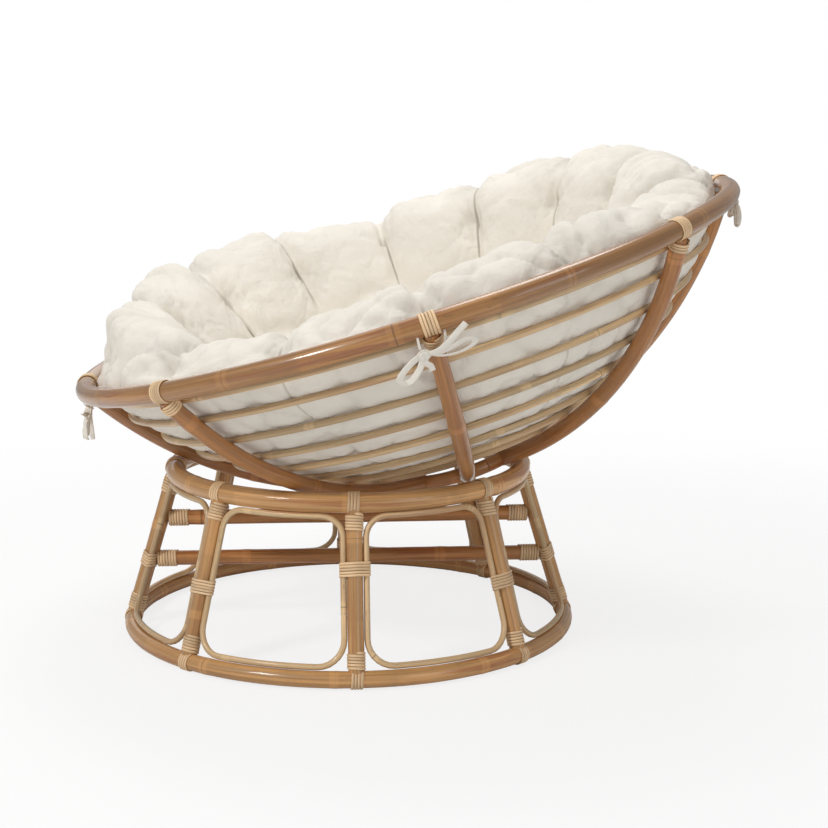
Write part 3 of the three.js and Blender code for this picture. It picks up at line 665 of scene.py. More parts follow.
def settings(context):
    return context.scene.papasan_stand, context.scene.papasan_bowl, context.scene.papasan_lashing


def finish_of(context, kind):
    """The material of one finish, made once."""
    colours = context.scene.papasan_finishes
    makers = {
        "smoked_rib": lambda name: cane(name, colours.rib_cane, 0.6, 0.38),
        "varnished_rim": lambda name: cane(name, colours.rim_cane, 0.85, 0.42),
        "golden_stand": lambda name: cane(name, colours.stand_cane, 0.6, 0.40),
        "pale_hoop": lambda name: cane(name, colours.pale_cane, 0.35, 0.20),
        "peel_strand": lambda name: peel_strand(name, colours.peel),
        "cotton": lambda name: cotton(name, colours.cloth, 2 * math.pi * WEAVE_RADIUS / context.scene.papasan_cushion.lobes),
    }
    return bpy.data.materials.get(kind) or makers[kind](kind)


class PAPASAN_OT_stand_rings(bpy.types.Operator):
    """Make the two thick rings of the stand"""
    bl_idname = "papasan.stand_rings"
    bl_label = "Stand Rings"

    def execute(self, context):
        stand, _, _ = settings(context)
        plan = StandPlan(stand)
        material = finish_of(context, "golden_stand")
        for name, radius, thickness, height, spacing, seed in (
                ("bottom_ring_cane", stand.bottom_radius, stand.bottom_thickness, stand.bottom_height, 0.23, 0.35),
                ("top_ring_cane", stand.top_radius, stand.top_thickness, plan.top_height, 0.27, 0.8)):
            path = ring_path(lambda azimuth: on_axis(azimuth, radius, height), outward, math.pi)
            sweep(name, [path], "stand", material, "stand_cane", [name.replace("_cane", "")], width=thickness,
                  thickness=thickness, sides=24, wander=0.0012, ring_spacing=spacing, ring_swell=0.035, seed=seed)
        return {"FINISHED"}


class PAPASAN_OT_posts(bpy.types.Operator):
    """Make the eight leaning posts"""
    bl_idname = "papasan.posts"
    bl_label = "Posts"

    def execute(self, context):
        stand, _, _ = settings(context)
        plan = StandPlan(stand)
        paths = []
        for number in EIGHT:
            foot, axis = plan.post_axis(azimuth_of(number))
            paths.append(straight_path(foot, foot + axis * plan.post_length, plan.cone_normal(azimuth_of(number)),
                                       tone=0.25 * (number % 3)))
        sweep("post_canes", paths, "stand", finish_of(context, "golden_stand"), "stand_cane",
              [f"post_{number}" for number in EIGHT], width=stand.post_thickness, thickness=stand.post_thickness,
              sides=20, wander=0.0022, ring_spacing=0.21, ring_swell=0.05, seed=0.13)
        return {"FINISHED"}


class PAPASAN_OT_bay_loops(bpy.types.Operator):
    """Make the thin loop in each bay of the stand"""
    bl_idname = "papasan.bay_loops"
    bl_label = "Bay Loops"

    def execute(self, context):
        stand, _, _ = settings(context)
        plan = StandPlan(stand)
        paths = []
        side = (stand.post_thickness + stand.loop_thickness) / 2 + 0.0004
        low = (stand.bottom_thickness + stand.loop_thickness) / 2 + 0.0006
        high = plan.post_length - (stand.top_thickness + stand.loop_thickness) / 2 - 0.0006
        for number in EIGHT:
            bay = azimuth_of(number) + math.pi / 8
            corners = [Vector((way * (plan.cone_radius(rise) * math.pi / 8 - side), rise))
                       for rise, way in ((low, -1), (low, 1), (high, 1), (high, -1))]
            outline = rounded_corners(corners, stand.loop_corner)
            start = len(outline) * 3 // 8
            outline = outline[start:] + outline[:start + 1]
            points = [plan.on_cone(bay, flat.x, flat.y) for flat in outline]
            facings = [plan.cone_normal(bay + flat.x / plan.cone_radius(flat.y)) for flat in outline]
            paths.append({"points": points, "facings": facings, "tone": 0.2 * (number % 4)})
        sweep("bay_loop_canes", paths, "stand", finish_of(context, "pale_hoop"), "pale_cane",
              [f"bay_loop_{number}" for number in EIGHT], width=stand.loop_thickness, thickness=stand.loop_thickness,
              sides=12, wander=0.0008, ring_spacing=0.33, ring_swell=0.03, seed=0.6)
        return {"FINISHED"}


class PAPASAN_OT_cross_bars(bpy.types.Operator):
    """Make the two bars that cross the stand, with the peel wound on their ends"""
    bl_idname = "papasan.cross_bars"
    bl_label = "Cross Bars"

    def execute(self, context):
        stand, _, lash = settings(context)
        plan = StandPlan(stand)
        paths, wraps = [], []
        for rise in (stand.lower_bar, stand.upper_bar):
            height = stand.bottom_height + rise
            reach = plan.cone_radius(rise * plan.post_length / stand.spacing) - stand.post_thickness / 2
            ends = [on_axis(way * math.pi / 2, reach, height) for way in (-1, 1)]
            paths.append(straight_path(ends[0], ends[1], UP, 110))
            for end, inward in ((ends[0], Vector((0, 1, 0))), (ends[1], Vector((0, -1, 0)))):
                middle = end + inward * 0.017
                bar_reach = stand.bar_thickness / 2 + lash.thickness / 2
                wraps.append(helix(middle, UP, Vector((1, 0, 0)), lambda angle, out=bar_reach: out, lash.pitch, 7,
                                   inward))
        sweep("cross_bar_canes", paths, "stand", finish_of(context, "smoked_rib"), "bowl_cane",
              ["lower_cross_bar", "upper_cross_bar"], width=stand.bar_thickness, thickness=stand.bar_thickness,
              sides=20, wander=0.002, ring_spacing=0.26, ring_swell=0.05, seed=0.4)
        sweep_strands("cross_bar_wraps", wraps, "stand", context, ())
        return {"FINISHED"}


def sweep_strands(name, paths, body, context, replaced):
    lash = context.scene.papasan_lashing
    for number, path in enumerate(paths):
        path["tone"] = 0.5 * ((number * 0.618) % 1)
    return sweep(name, paths, body, finish_of(context, "peel_strand"), "cane_peel", replaced, width=lash.width,
                 thickness=lash.thickness, sides=8, wander=0.0002, ring_spacing=5.0, ring_swell=0.0, seed=0.2)


class PAPASAN_OT_post_lashings(bpy.types.Operator):
    """Wind the peel at the head, middle and foot of each post"""
    bl_idname = "papasan.post_lashings"
    bl_label = "Post Lashings"

    middle_shares = (0.62, 0.45, 0.4, 0.48, 0.5, 0.48, 0.39, 0.44)

    def execute(self, context):
        stand, _, lash = settings(context)
        plan = StandPlan(stand)
        heads, middles, feet = [], [], []
        half = lash.thickness / 2
        post = stand.post_thickness / 2
        for number in EIGHT:
            azimuth = azimuth_of(number)
            foot, axis = plan.post_axis(azimuth)
            normal = plan.cone_normal(azimuth)
            side = sideways(azimuth)
            top = stand.top_thickness / 2
            bottom = stand.bottom_thickness / 2
            round_post = lambda angle: post + half
            heads.append(helix(foot + axis * (plan.post_length - top - 0.0142), -normal, side, round_post, lash.pitch,
                               5.5, axis))
            feet.append(helix(foot + axis * (bottom + 0.0142), -normal, side, round_post, lash.pitch, 5.5, axis))
            for strands, radius, height, bore in ((heads, stand.top_radius, plan.top_height, top),
                                                  (feet, stand.bottom_radius, stand.bottom_height, bottom)):
                strands.append(strands_over_ring(
                    lambda at, r=radius, h=height: on_axis(at, r, h), outward, lambda at: UP, bore + 0.0002, lash, 4,
                    azimuth, radius, start=-math.pi / 2 if strands is heads else math.pi / 2))
            share = self.middle_shares[number - 1]
            middles.append(self.middle_band(plan, azimuth, share, lash, post + half))
        sweep_strands("post_head_lashings", heads, "stand", context, ())
        sweep_strands("post_middle_lashings", middles, "stand", context, [f"mid_lashing_{n}" for n in EIGHT])
        sweep_strands("post_foot_lashings", feet, "stand", context, [f"foot_lashing_{n}" for n in EIGHT])
        return {"FINISHED"}

    @staticmethod
    def middle_band(plan, azimuth, share, lash, post_reach):
        stand = plan.sizes
        foot, axis = plan.post_axis(azimuth)
        origin = foot + axis * (plan.post_length * share)
        side = sideways(azimuth)
        normal = plan.cone_normal(azimuth)
        offset = (stand.post_thickness + stand.loop_thickness) / 2 + 0.0004
        loop_reach = stand.loop_thickness / 2 + lash.thickness / 2
        bars = [(0.0, post_reach), (offset, loop_reach), (-offset, loop_reach)]
        points, facings = [], []
        steps, turns = 32, 5
        for step in range(steps * turns + 1):
            angle = math.pi + 2 * math.pi * step / steps
            spoke = (math.cos(angle), math.sin(angle))
            place, reach = max(bars, key=lambda bar: bar[0] * spoke[1] + bar[1])
            out, across = reach * spoke[0], place + reach * spoke[1]
            climb = lash.pitch * (step / steps - turns / 2)
            points.append(origin + normal * out + side * across + axis * climb)
            facings.append((normal * spoke[0] + side * spoke[1]).normalized())
        return {"points": points, "facings": facings, "girths": [0.4] + [1.0] * (len(points) - 2) + [0.4]}


class PAPASAN_OT_rim(bpy.types.Operator):
    """Make the bowl's thick rim"""
    bl_idname = "papasan.rim"
    bl_label = "Rim"

    def execute(self, context):
        _, bowl, _ = settings(context)
        plan = BowlPlan(bowl)
        path = ring_path(lambda azimuth: bowl_point(azimuth, plan.rim_angle, plan.rim_arc),
                         lambda azimuth: bowl_facing(azimuth, plan.rim_angle), math.pi, 720)
        sweep("rim_cane", [path], "bowl", finish_of(context, "varnished_rim"), "rim_cane", ["rim"],
              width=bowl.rim_thickness, thickness=bowl.rim_thickness, sides=28, wander=0.0016, ring_spacing=0.25,
              ring_swell=0.03, seed=0.55)
        return {"FINISHED"}


class PAPASAN_OT_ribs(bpy.types.Operator):
    """Make the eight ribs and the ring they start from"""
    bl_idname = "papasan.ribs"
    bl_label = "Ribs"

    def execute(self, context):
        _, bowl, _ = settings(context)
        plan = BowlPlan(bowl)
        material = finish_of(context, "smoked_rib")
        paths = []
        steps = 100
        top = plan.rim_angle - 0.010 / bowl.rib_arc
        for number in EIGHT:
            azimuth = azimuth_of(number)
            angles = [plan.centre_angle + (top - plan.centre_angle) * step / steps for step in range(steps + 1)]
            girths = [1.0] * (steps - 3) + [0.98, 0.94, 0.87, 0.75]
            paths.append({"points": [bowl_point(azimuth, angle, bowl.rib_arc) for angle in angles],
                          "facings": [bowl_facing(azimuth, angle) for angle in angles], "girths": girths,
                          "tone": 0.3 * (number % 3)})
        sweep("rib_canes", paths, "bowl", material, "bowl_cane", [f"rib_{number}" for number in EIGHT],
              width=bowl.rib_thickness, thickness=bowl.rib_thickness, sides=20, wander=0.003, ring_spacing=0.29,
              ring_swell=0.05, seed=0.77)
        ring = ring_path(lambda azimuth: bowl_point(azimuth, plan.centre_angle, bowl.rib_arc),
                         lambda azimuth: bowl_facing(azimuth, plan.centre_angle), math.pi / 8, 64)
        sweep("centre_ring_cane", [ring], "bowl", material, "bowl_cane", ["centre_ring"],
              width=bowl.centre_thickness, thickness=bowl.centre_thickness, sides=18, wander=0.001,
              ring_spacing=0.3, ring_swell=0.04, seed=0.31)
        return {"FINISHED"}


class PAPASAN_OT_hoops(bpy.types.Operator):
    """Make the thin hoops inside the ribs"""
    bl_idname = "papasan.hoops"
    bl_label = "Hoops"

    def execute(self, context):
        _, bowl, _ = settings(context)
        plan = BowlPlan(bowl)
        paths = []
        for index in range(8):
            angle = plan.hoop_angle(index)
            paths.append(ring_path(lambda azimuth, at=angle: bowl_point(azimuth, at, plan.hoop_arc),
                                   lambda azimuth, at=angle: bowl_facing(azimuth, at), math.pi * (1 + 0.25 * index),
                                   300, 0.2 * (index % 4)))
        sweep("hoop_canes", paths, "bowl", finish_of(context, "pale_hoop"), "pale_cane",
              [f"hoop_{number}" for number in EIGHT], width=bowl.hoop_thickness, thickness=bowl.hoop_thickness,
              sides=12, wander=0.0012, ring_spacing=0.41, ring_swell=0.03, seed=0.9)
        return {"FINISHED"}


class PAPASAN_OT_rim_lashings(bpy.types.Operator):
    """Wind the peel that binds each rib to the rim"""
    bl_idname = "papasan.rim_lashings"
    bl_label = "Rim Lashings"

    def execute(self, context):
        _, bowl, lash = settings(context)
        plan = BowlPlan(bowl)
        paths = []
        half = lash.thickness / 2
        for number in EIGHT:
            azimuth = azimuth_of(number)
            paths.append(strands_over_ring(
                lambda at: bowl_point(at, plan.rim_angle, plan.rim_arc),
                lambda at: bowl_facing(at, plan.rim_angle),
                lambda at: self.down_the_rib(at, plan.rim_angle), bowl.rim_thickness / 2 + 0.0002, lash, 5,
                azimuth, bowl.rim_radius, start=math.pi / 2))
            drop = bowl.rim_thickness / 2 + 0.0065
            angle = plan.rim_angle - drop / bowl.rib_arc
            side = tilted(sideways(azimuth))
            paths.append(helix(bowl_point(azimuth, angle, bowl.rib_arc), -bowl_facing(azimuth, angle), side,
                               lambda turn: bowl.rib_thickness / 2 + half, lash.pitch, 3.5,
                               -self.down_the_rib(azimuth, angle)))
        sweep_strands("rim_lashings", paths, "bowl", context, ())
        return {"FINISHED"}

    @staticmethod
    def down_the_rib(azimuth, angle):
        step = 0.001
        return (bowl_point(azimuth, angle - step, 1) - bowl_point(azimuth, angle + step, 1)).normalized()


# ---- cushion


class CushionPlan:
    """The cushion's surface: an outline from its lowest point over its puffed edge to the middle of the seat."""

    crest_shares = (0.45, 0.42, 0.4, 0.33, 0.3, 0.4, 0.49, 0.74, 0.82, 0.86, 0.83, 0.75, 0.72, 0.88, 1, 1, 1, 0.92, 0.82,
                    0.69, 0.48, 0.33, 0.27, 0.33)
    tuft_radius = 0.265

    def __init__(self, sizes, bowl_plan):
        self.sizes = sizes
        self.bowl = bowl_plan
        self.wall = bowl_plan.sizes.rim_radius - bowl_plan.sizes.rim_thickness / 2 - 0.009
        self.lobe_columns = 18
        self.columns = sizes.lobes * self.lobe_columns
        self.rows = 96

    def crest(self, azimuth):
        """Height of the edge over the rim's plane."""
        place = (azimuth / (2 * math.pi)) * len(self.crest_shares)
        index = int(place) % len(self.crest_shares)
        rest = place - int(place)
        rest = rest * rest * (3 - 2 * rest)
        following = self.crest_shares[(index + 1) % len(self.crest_shares)]
        share = self.crest_shares[index] * (1 - rest) + following * rest
        return self.sizes.crest_height * share

    def outline(self, azimuth, seam):
        """Points (radius, height over the rim's plane) at one azimuth; seam is 1 at a seam and 0 between seams."""
        lobe = math.floor(self.sizes.lobes * azimuth / (2 * math.pi))
        rise = self.crest(azimuth) + 0.006 * math.sin(2.4 * lobe) * (1 - seam)
        lean = self.sizes.lean * (1 - math.sin(azimuth)) / 2
        lining = self.bowl.lining - 0.0005
        points = []
        for share in (0, 0.15, 0.3, 0.45, 0.6, 0.75, 0.88):
            angle = share * self.bowl.rim_angle
            points.append((lining * math.sin(angle), self.bowl.rim_drop - lining * math.cos(angle)))
        crest_radius = self.sizes.crest_radius
        core = (crest_radius * 0.93, 0.0)
        for place, height in ((1, 0), (1, 0.45), (0.5, 0.88), (0, 1), (-0.85, 0.8)):
            wall = self.wall - (lean if height else 0)
            radius = crest_radius + ((wall if place > 0 else self.wall) - crest_radius) * place
            point = np.array((radius, rise * height))
            inward = point - core
            inward /= np.linalg.norm(inward)
            points.append(tuple(point - inward * self.sizes.seam_depth * seam))
        seat = lining - self.sizes.thickness
        for share in (1.22, 1, 0.7, 0.35, 0):
            radius = share * self.tuft_radius
            points.append((radius, self.bowl.rim_drop - math.sqrt(seat ** 2 - radius ** 2)))
        return smooth_line(points, self.rows)

    def surface(self):
        """A grid of points in the bowl's frame, with how near each is to a seam and to a tuft."""
        grid = np.zeros((self.columns, self.rows + 1, 3))
        for column in range(self.columns):
            azimuth = 2 * math.pi * column / self.columns
            phase = column % self.lobe_columns / self.lobe_columns
            seam = (1 - math.sin(math.pi * phase)) ** 2.6
            line = self.between_hoops(self.outline(azimuth, seam), azimuth)
            grid[column, :, 0] = line[:, 0] * math.cos(azimuth)
            grid[column, :, 1] = line[:, 0] * math.sin(azimuth)
            grid[column, :, 2] = line[:, 1] - self.bowl.rim_drop
        return grid

    def between_hoops(self, line, azimuth):
        """The underside lets the filling sag a little between two hoops."""
        angles = [self.bowl.hoop_angle(index) for index in range(8)]
        for row, (radius, height) in enumerate(line):
            distance = math.hypot(radius, height - self.bowl.rim_drop)
            if height > -0.012 or distance < self.bowl.lining - 0.003:
                continue
            angle = math.atan2(radius, self.bowl.rim_drop - height)
            gaps = sorted(abs(angle - at) * self.bowl.hoop_arc for at in angles)
            sag = 0.0075 * min(gaps[0] / 0.030, 1) ** 0.7 * (0.75 + 0.25 * math.sin(9 * azimuth + 40 * angle))
            line[row] = (radius * (1 + sag / distance),
                         self.bowl.rim_drop - (self.bowl.rim_drop - height) * (1 + sag / distance))
        return line

    def tufts(self):
        """Flat places of the tufts, in the bowl's frame."""
        places = [(0.0, 0.0)]
        for tuft in range(self.sizes.lobes // 2):
            angle = 4 * math.pi * tuft / self.sizes.lobes
            places.append((self.tuft_radius * math.cos(angle), self.tuft_radius * math.sin(angle)))
        return np.array(places)


def smooth_line(points, count):
    """A smooth line through points, as evenly spaced points."""
    points = np.array(points)
    padded_points = np.vstack([2 * points[0] - points[1], points, 2 * points[-1] - points[-2]])
    fine = []
    for index in range(1, len(padded_points) - 2):
        before, here, following, last = padded_points[index - 1:index + 3]
        for share in np.linspace(0, 1, 16, endpoint=False):
            fine.append(0.5 * (2 * here + (following - before) * share
                               + (2 * before - 5 * here + 4 * following - last) * share ** 2
                               + (3 * here - before - 3 * following + last) * share ** 3))
    fine.append(points[-1])
    fine = np.array(fine)
    travel = np.concatenate([[0], np.cumsum(np.linalg.norm(np.diff(fine, axis=0), axis=1))])
    wanted = np.linspace(0, travel[-1], count + 1)
    return np.stack([np.interp(wanted, travel, fine[:, axis]) for axis in range(2)], axis=1)


class PAPASAN_OT_cushion(bpy.types.Operator):
    """Make the tufted cushion: puffed and creased by a cloth simulation held at its seams and tufts"""
    bl_idname = "papasan.cushion"
    bl_label = "Cushion"

    def execute(self, context):
        sizes = context.scene.papasan_cushion
        plan = CushionPlan(sizes, BowlPlan(context.scene.papasan_bowl))
        grid = plan.surface()
        made, hold = self.make_mesh(plan, grid)
        self.puff(context, made, hold, sizes)
        self.smooth_finish(made)
        self.crumple(made, plan)
        made.data.materials.append(finish_of(context, "cotton"))
        finish_piece(made, "bowl", ["cushion"])
        return {"FINISHED"}

    @staticmethod
    def make_mesh(plan, grid):
        """The cover as a grid of quads closed at both poles, and how firmly each point is held."""
        columns, rows = plan.columns, plan.rows
        tufts = plan.tufts()
        points, hold = [], []
        rim_row = None
        for row in range(1, rows):
            for column in range(columns):
                point = grid[column, row]
                phase = column % plan.lobe_columns
                gap = min(phase, plan.lobe_columns - phase)
                away = np.linalg.norm(tufts - point[:2], axis=1).min()
                below = point[2] < -plan.bowl.rim_drop - 0.012 and row < rows * 0.55
                seat = row > rows * 0.5
                held = 1.0 if below else 0.0
                if gap == 0 and not below:
                    radius = math.hypot(point[0], point[1])
                    held = 1.0 if radius > plan.tuft_radius * 0.98 else held
                drawn = 0.0
                if seat:
                    drawn = plan.sizes.tuft_depth * math.exp(-(away / 0.05) ** 2)
                    held = 1.0 if away < 0.016 else held
                points.append((point[0], point[1], point[2] - drawn))
                hold.append(held)
        bottom = len(points)
        points.append(tuple(grid[0, 0]))
        hold.append(1.0)
        top = grid[0, rows]
        points.append((top[0], top[1], top[2] - plan.sizes.tuft_depth))
        hold.append(1.0)
        faces = []
        for column in range(columns):
            following = (column + 1) % columns
            last = (rows - 2) * columns
            faces.append((bottom, following, column))
            faces.append((bottom + 1, last + column, last + following))
            for row in range(rows - 2):
                low, high = row * columns, (row + 1) * columns
                faces.append((low + column, low + following, high + following, high + column))
        placed = [tuple(PIVOT + tilted(point)) for point in points]
        mesh = bpy.data.meshes.new("tufted_cushion")
        mesh.from_pydata(placed, [], faces)
        CushionWeave.write(mesh, columns, rows, grid)
        mesh.polygons.foreach_set("use_smooth", [True] * len(mesh.polygons))
        made = bpy.data.objects.new("tufted_cushion", mesh)
        bpy.context.scene.collection.objects.link(made)
        return made, hold

    @staticmethod
    def puff(context, made, hold, sizes):
        group = made.vertex_groups.new(name="held")
        for index, value in enumerate(hold):
            if value:
                group.add([index], value, "REPLACE")
        loose = made.vertex_groups.new(name="loose")
        untilt = Matrix.Rotation(-BOWL_TILT, 3, "X")
        for index, vertex in enumerate(made.data.vertices):
            place = untilt @ (vertex.co - PIVOT)
            value = min(max((math.hypot(place.x, place.y) - 0.36) / 0.07, 0), 1)
            loose.add([index], value, "REPLACE")
        start = np.zeros(len(made.data.vertices) * 3)
        made.data.vertices.foreach_get("co", start)
        modifier = made.modifiers.new("Cloth", "CLOTH")
        cloth = modifier.settings
        cloth.quality = 5
        cloth.mass = 0.15
        cloth.tension_stiffness = 12
        cloth.compression_stiffness = 12
        cloth.shear_stiffness = 5
        cloth.bending_stiffness = 0.2
        cloth.air_damping = 4
        cloth.use_pressure = True
        cloth.uniform_pressure_force = 3.0
        cloth.shrink_min = -sizes.seat_slack
        cloth.shrink_max = -sizes.slack
        cloth.vertex_group_shrink = "loose"
        cloth.vertex_group_mass = "held"
        cloth.pin_stiffness = 1.0
        cloth.effector_weights.gravity = 0
        modifier.collision_settings.use_collision = False
        scene = context.scene
        for number in range(1, 25):
            scene.frame_set(number)
        depsgraph = context.evaluated_depsgraph_get()
        evaluated = made.evaluated_get(depsgraph)
        moved = np.zeros(len(start))
        evaluated.data.vertices.foreach_get("co", moved)
        made.modifiers.remove(modifier)
        made.vertex_groups.clear()
        scene.frame_set(1)
        way = (moved - start).reshape(-1, 3)
        far = np.linalg.norm(way, axis=1)
        cap = 0.026
        way *= np.minimum(1, cap / np.maximum(far, 1e-9))[:, None]
        made.data.vertices.foreach_set("co", (start.reshape(-1, 3) + way).ravel())
        made.data.update()

    @staticmethod
    def crumple(made, plan):
        """Moves the finished cover in and out along its normals by its folds."""
        mesh = made.data
        count = len(mesh.vertices)
        points, normals = np.zeros(count * 3), np.zeros(count * 3)
        mesh.vertices.foreach_get("co", points)
        mesh.vertices.foreach_get("normal", normals)
        points, normals = points.reshape(-1, 3), normals.reshape(-1, 3)
        untilt = Matrix.Rotation(-BOWL_TILT, 3, "X")
        folds = Folds(plan)
        found = np.array([folds.at(untilt @ (Vector(point) - PIVOT)) for point in points])
        mesh.vertices.foreach_set("co", (points + normals * found[:, :1]).ravel())
        # The depth in the folds and the seam's line are kept for the cloth, whose colour darkens them as painted shade.
        for place, name in ((1, "fold"), (2, "stitched")):
            mesh.attributes.new(name, "FLOAT", "POINT").data.foreach_set("value", found[:, place])
        mesh.update()

    @staticmethod
    def smooth_finish(made):
        modifier = made.modifiers.new("Smooth", "SUBSURF")
        modifier.levels = modifier.render_levels = 1
        depsgraph = bpy.context.evaluated_depsgraph_get()
        mesh = bpy.data.meshes.new_from_object(made.evaluated_get(depsgraph), preserve_all_data_layers=True,
                                               depsgraph=depsgraph)
        made.modifiers.remove(modifier)
        old = made.data
        made.data = mesh
        bpy.data.meshes.remove(old)
        mesh.name = "tufted_cushion"


class Folds:
    """How far the cover stands in or out at each place: furrows along the seams, puckers, gathers and crumples."""

    def __init__(self, plan):
        self.plan = plan
        self.lobe = 2 * math.pi / plan.sizes.lobes
        self.quarter = math.pi / 2

    @staticmethod
    def furrow(place, scale, width):
        """1 in the bottom of a furrow, which runs where a noise passes through nothing, and 0 well beside it."""
        return math.exp(-abs(noise.noise(place * scale)) / width)

    @staticmethod
    def fan(across, up, seed, spokes, reach):
        """Folds that fan out from one point and die away over the reach: between 0 and 1 in the furrows."""
        away = math.hypot(across, up)
        turn = math.atan2(up, across)
        spot = Vector((math.cos(turn) * spokes, math.sin(turn) * spokes, seed + away * 7))
        return math.exp(-abs(noise.noise(spot)) / 0.13) * math.exp(-away / reach) * min(away / 0.012, 1)

    def at(self, place):
        """How far the cover is moved, how deep in its folds it is, which the cloth shows as painted shade, and how
        plainly the painted shade line along its seam shows.
        """
        plan = self.plan
        radius = math.hypot(place.x, place.y)
        height = place.z + plan.bowl.rim_drop
        azimuth = math.atan2(place.y, place.x) % (2 * math.pi)
        number = round(azimuth / self.lobe)
        across = (azimuth - number * self.lobe) * radius
        spot = place + noise.noise_vector(place * 7) * 0.028
        spot.z *= 0.6
        shown = min(max(noise.noise(Vector((radius * 9, height * 9, number * 2.3))) * 4 + 0.55, 0), 1)
        if place.length > plan.bowl.lining - 0.012 and height < -0.012:
            drawn = math.exp(-(across / 0.007) ** 2)
            furrow = self.furrow(spot, 15, 0.12)
            # Underside: the furrows deepen the painted shade of the folds, and the seam gets its line of painted shade.
            return -0.005 * furrow - 0.002 * self.furrow(spot, 34, 0.2) - 0.003 * drawn, furrow ** 3 * 0.6, shown * 0.5
        edge = min(max((radius - 0.385) / 0.055, 0), 1)
        loose, fold_shading = self.crumples(spot)
        firm = self.wall(spot, radius, across, number)
        amount = edge * loose + (1 - edge) * firm
        fold_shading *= edge
        crest = plan.crest(azimuth)
        tie = round(azimuth / self.quarter)
        beside = (azimuth - tie * self.quarter) * radius
        if radius > 0.33:
            clear = 1 - 0.85 * math.exp(-(beside / 0.06) ** 2)
            for rise, pull, reach in ((0.95, 0.0062, 0.045), (0.35, 0.0080, 0.055)):
                up = height - crest * rise
                fan = self.fan(across, up, number * 3.7, 3.0, reach) * clear
                pinch = math.exp(-(math.hypot(across, up) / 0.014) ** 2) * clear
                amount -= pull * fan + 0.008 * pinch
                fold_shading += fan ** 2 + pinch * 0.7
        if edge and abs(beside) < 0.16:
            up = height - 0.004
            fan = self.fan(beside, up, tie * 5.1, 3.6, 0.085)
            pinch = math.exp(-(math.hypot(beside, up) / 0.026) ** 2)
            amount -= 0.0135 * fan + 0.013 * pinch
            fold_shading += fan ** 2 + pinch * 0.5
        # Share of the seam's line of painted shade, shown only outside the tufts.
        stitched = shown * min(max((radius - plan.tuft_radius) / 0.03, 0), 1)
        return amount, min(fold_shading, 1), stitched

    def crumples(self, spot):
        broad, small = self.furrow(spot, 12.5, 0.10), self.furrow(spot, 27, 0.15)
        amount = 0.0045 - 0.0110 * broad - 0.0030 * small + 0.008 * noise.noise(spot * 8)
        return amount, broad ** 3 * 0.8 + small ** 3 * 0.4

    def wall(self, spot, radius, across, number):
        """The seat's wall: nearly flat, with one furrow down each seam and short puckers across it."""
        beside = abs(across)
        down = radius + 0.5 * beside
        patch = min(max(noise.noise(Vector((radius * 16, number * 2.3, 0.4))) * 2.4 + 0.5, 0), 1)
        wave = 0.5 + 0.5 * math.sin(down * 2 * math.pi / 0.027 + 4 * noise.noise(spot * 20))
        pucker = 0.0042 * patch * wave * math.exp(-beside / 0.022) * (1 - math.exp(-beside / 0.006))
        furrow = 0.0050 * math.exp(-(across / 0.006) ** 2) * min(radius / self.plan.tuft_radius, 1) ** 4
        return pucker - furrow - 0.0022 * self.furrow(spot, 11, 0.14) + 0.003 * noise.noise(spot * 6)


class CushionWeave:
    """The cover's UV map, in metres along and across the cloth."""

    @staticmethod
    def write(mesh, columns, rows, grid):
        across = 2 * math.pi * WEAVE_RADIUS / columns
        down = np.linalg.norm(np.diff(grid[0], axis=0), axis=1).mean()
        layer = mesh.uv_layers.new(name="weave")
        corners = []
        ring = columns * (rows - 1)
        for polygon in mesh.polygons:
            spots = []
            for index in polygon.vertices:
                if index < ring:
                    spots.append([index % columns, 1 + index // columns])
                else:
                    spots.append([None, 0 if index == ring else rows])
            known = [spot[0] for spot in spots if spot[0] is not None]
            wraps = max(known) - min(known) > columns / 2
            for spot in spots:
                column = spot[0] if spot[0] is not None else known[0]
                if wraps and column < columns / 2:
                    column += columns
                corners.extend((column * across, spot[1] * down))
        layer.data.foreach_set("uv", corners)


# ---- ties


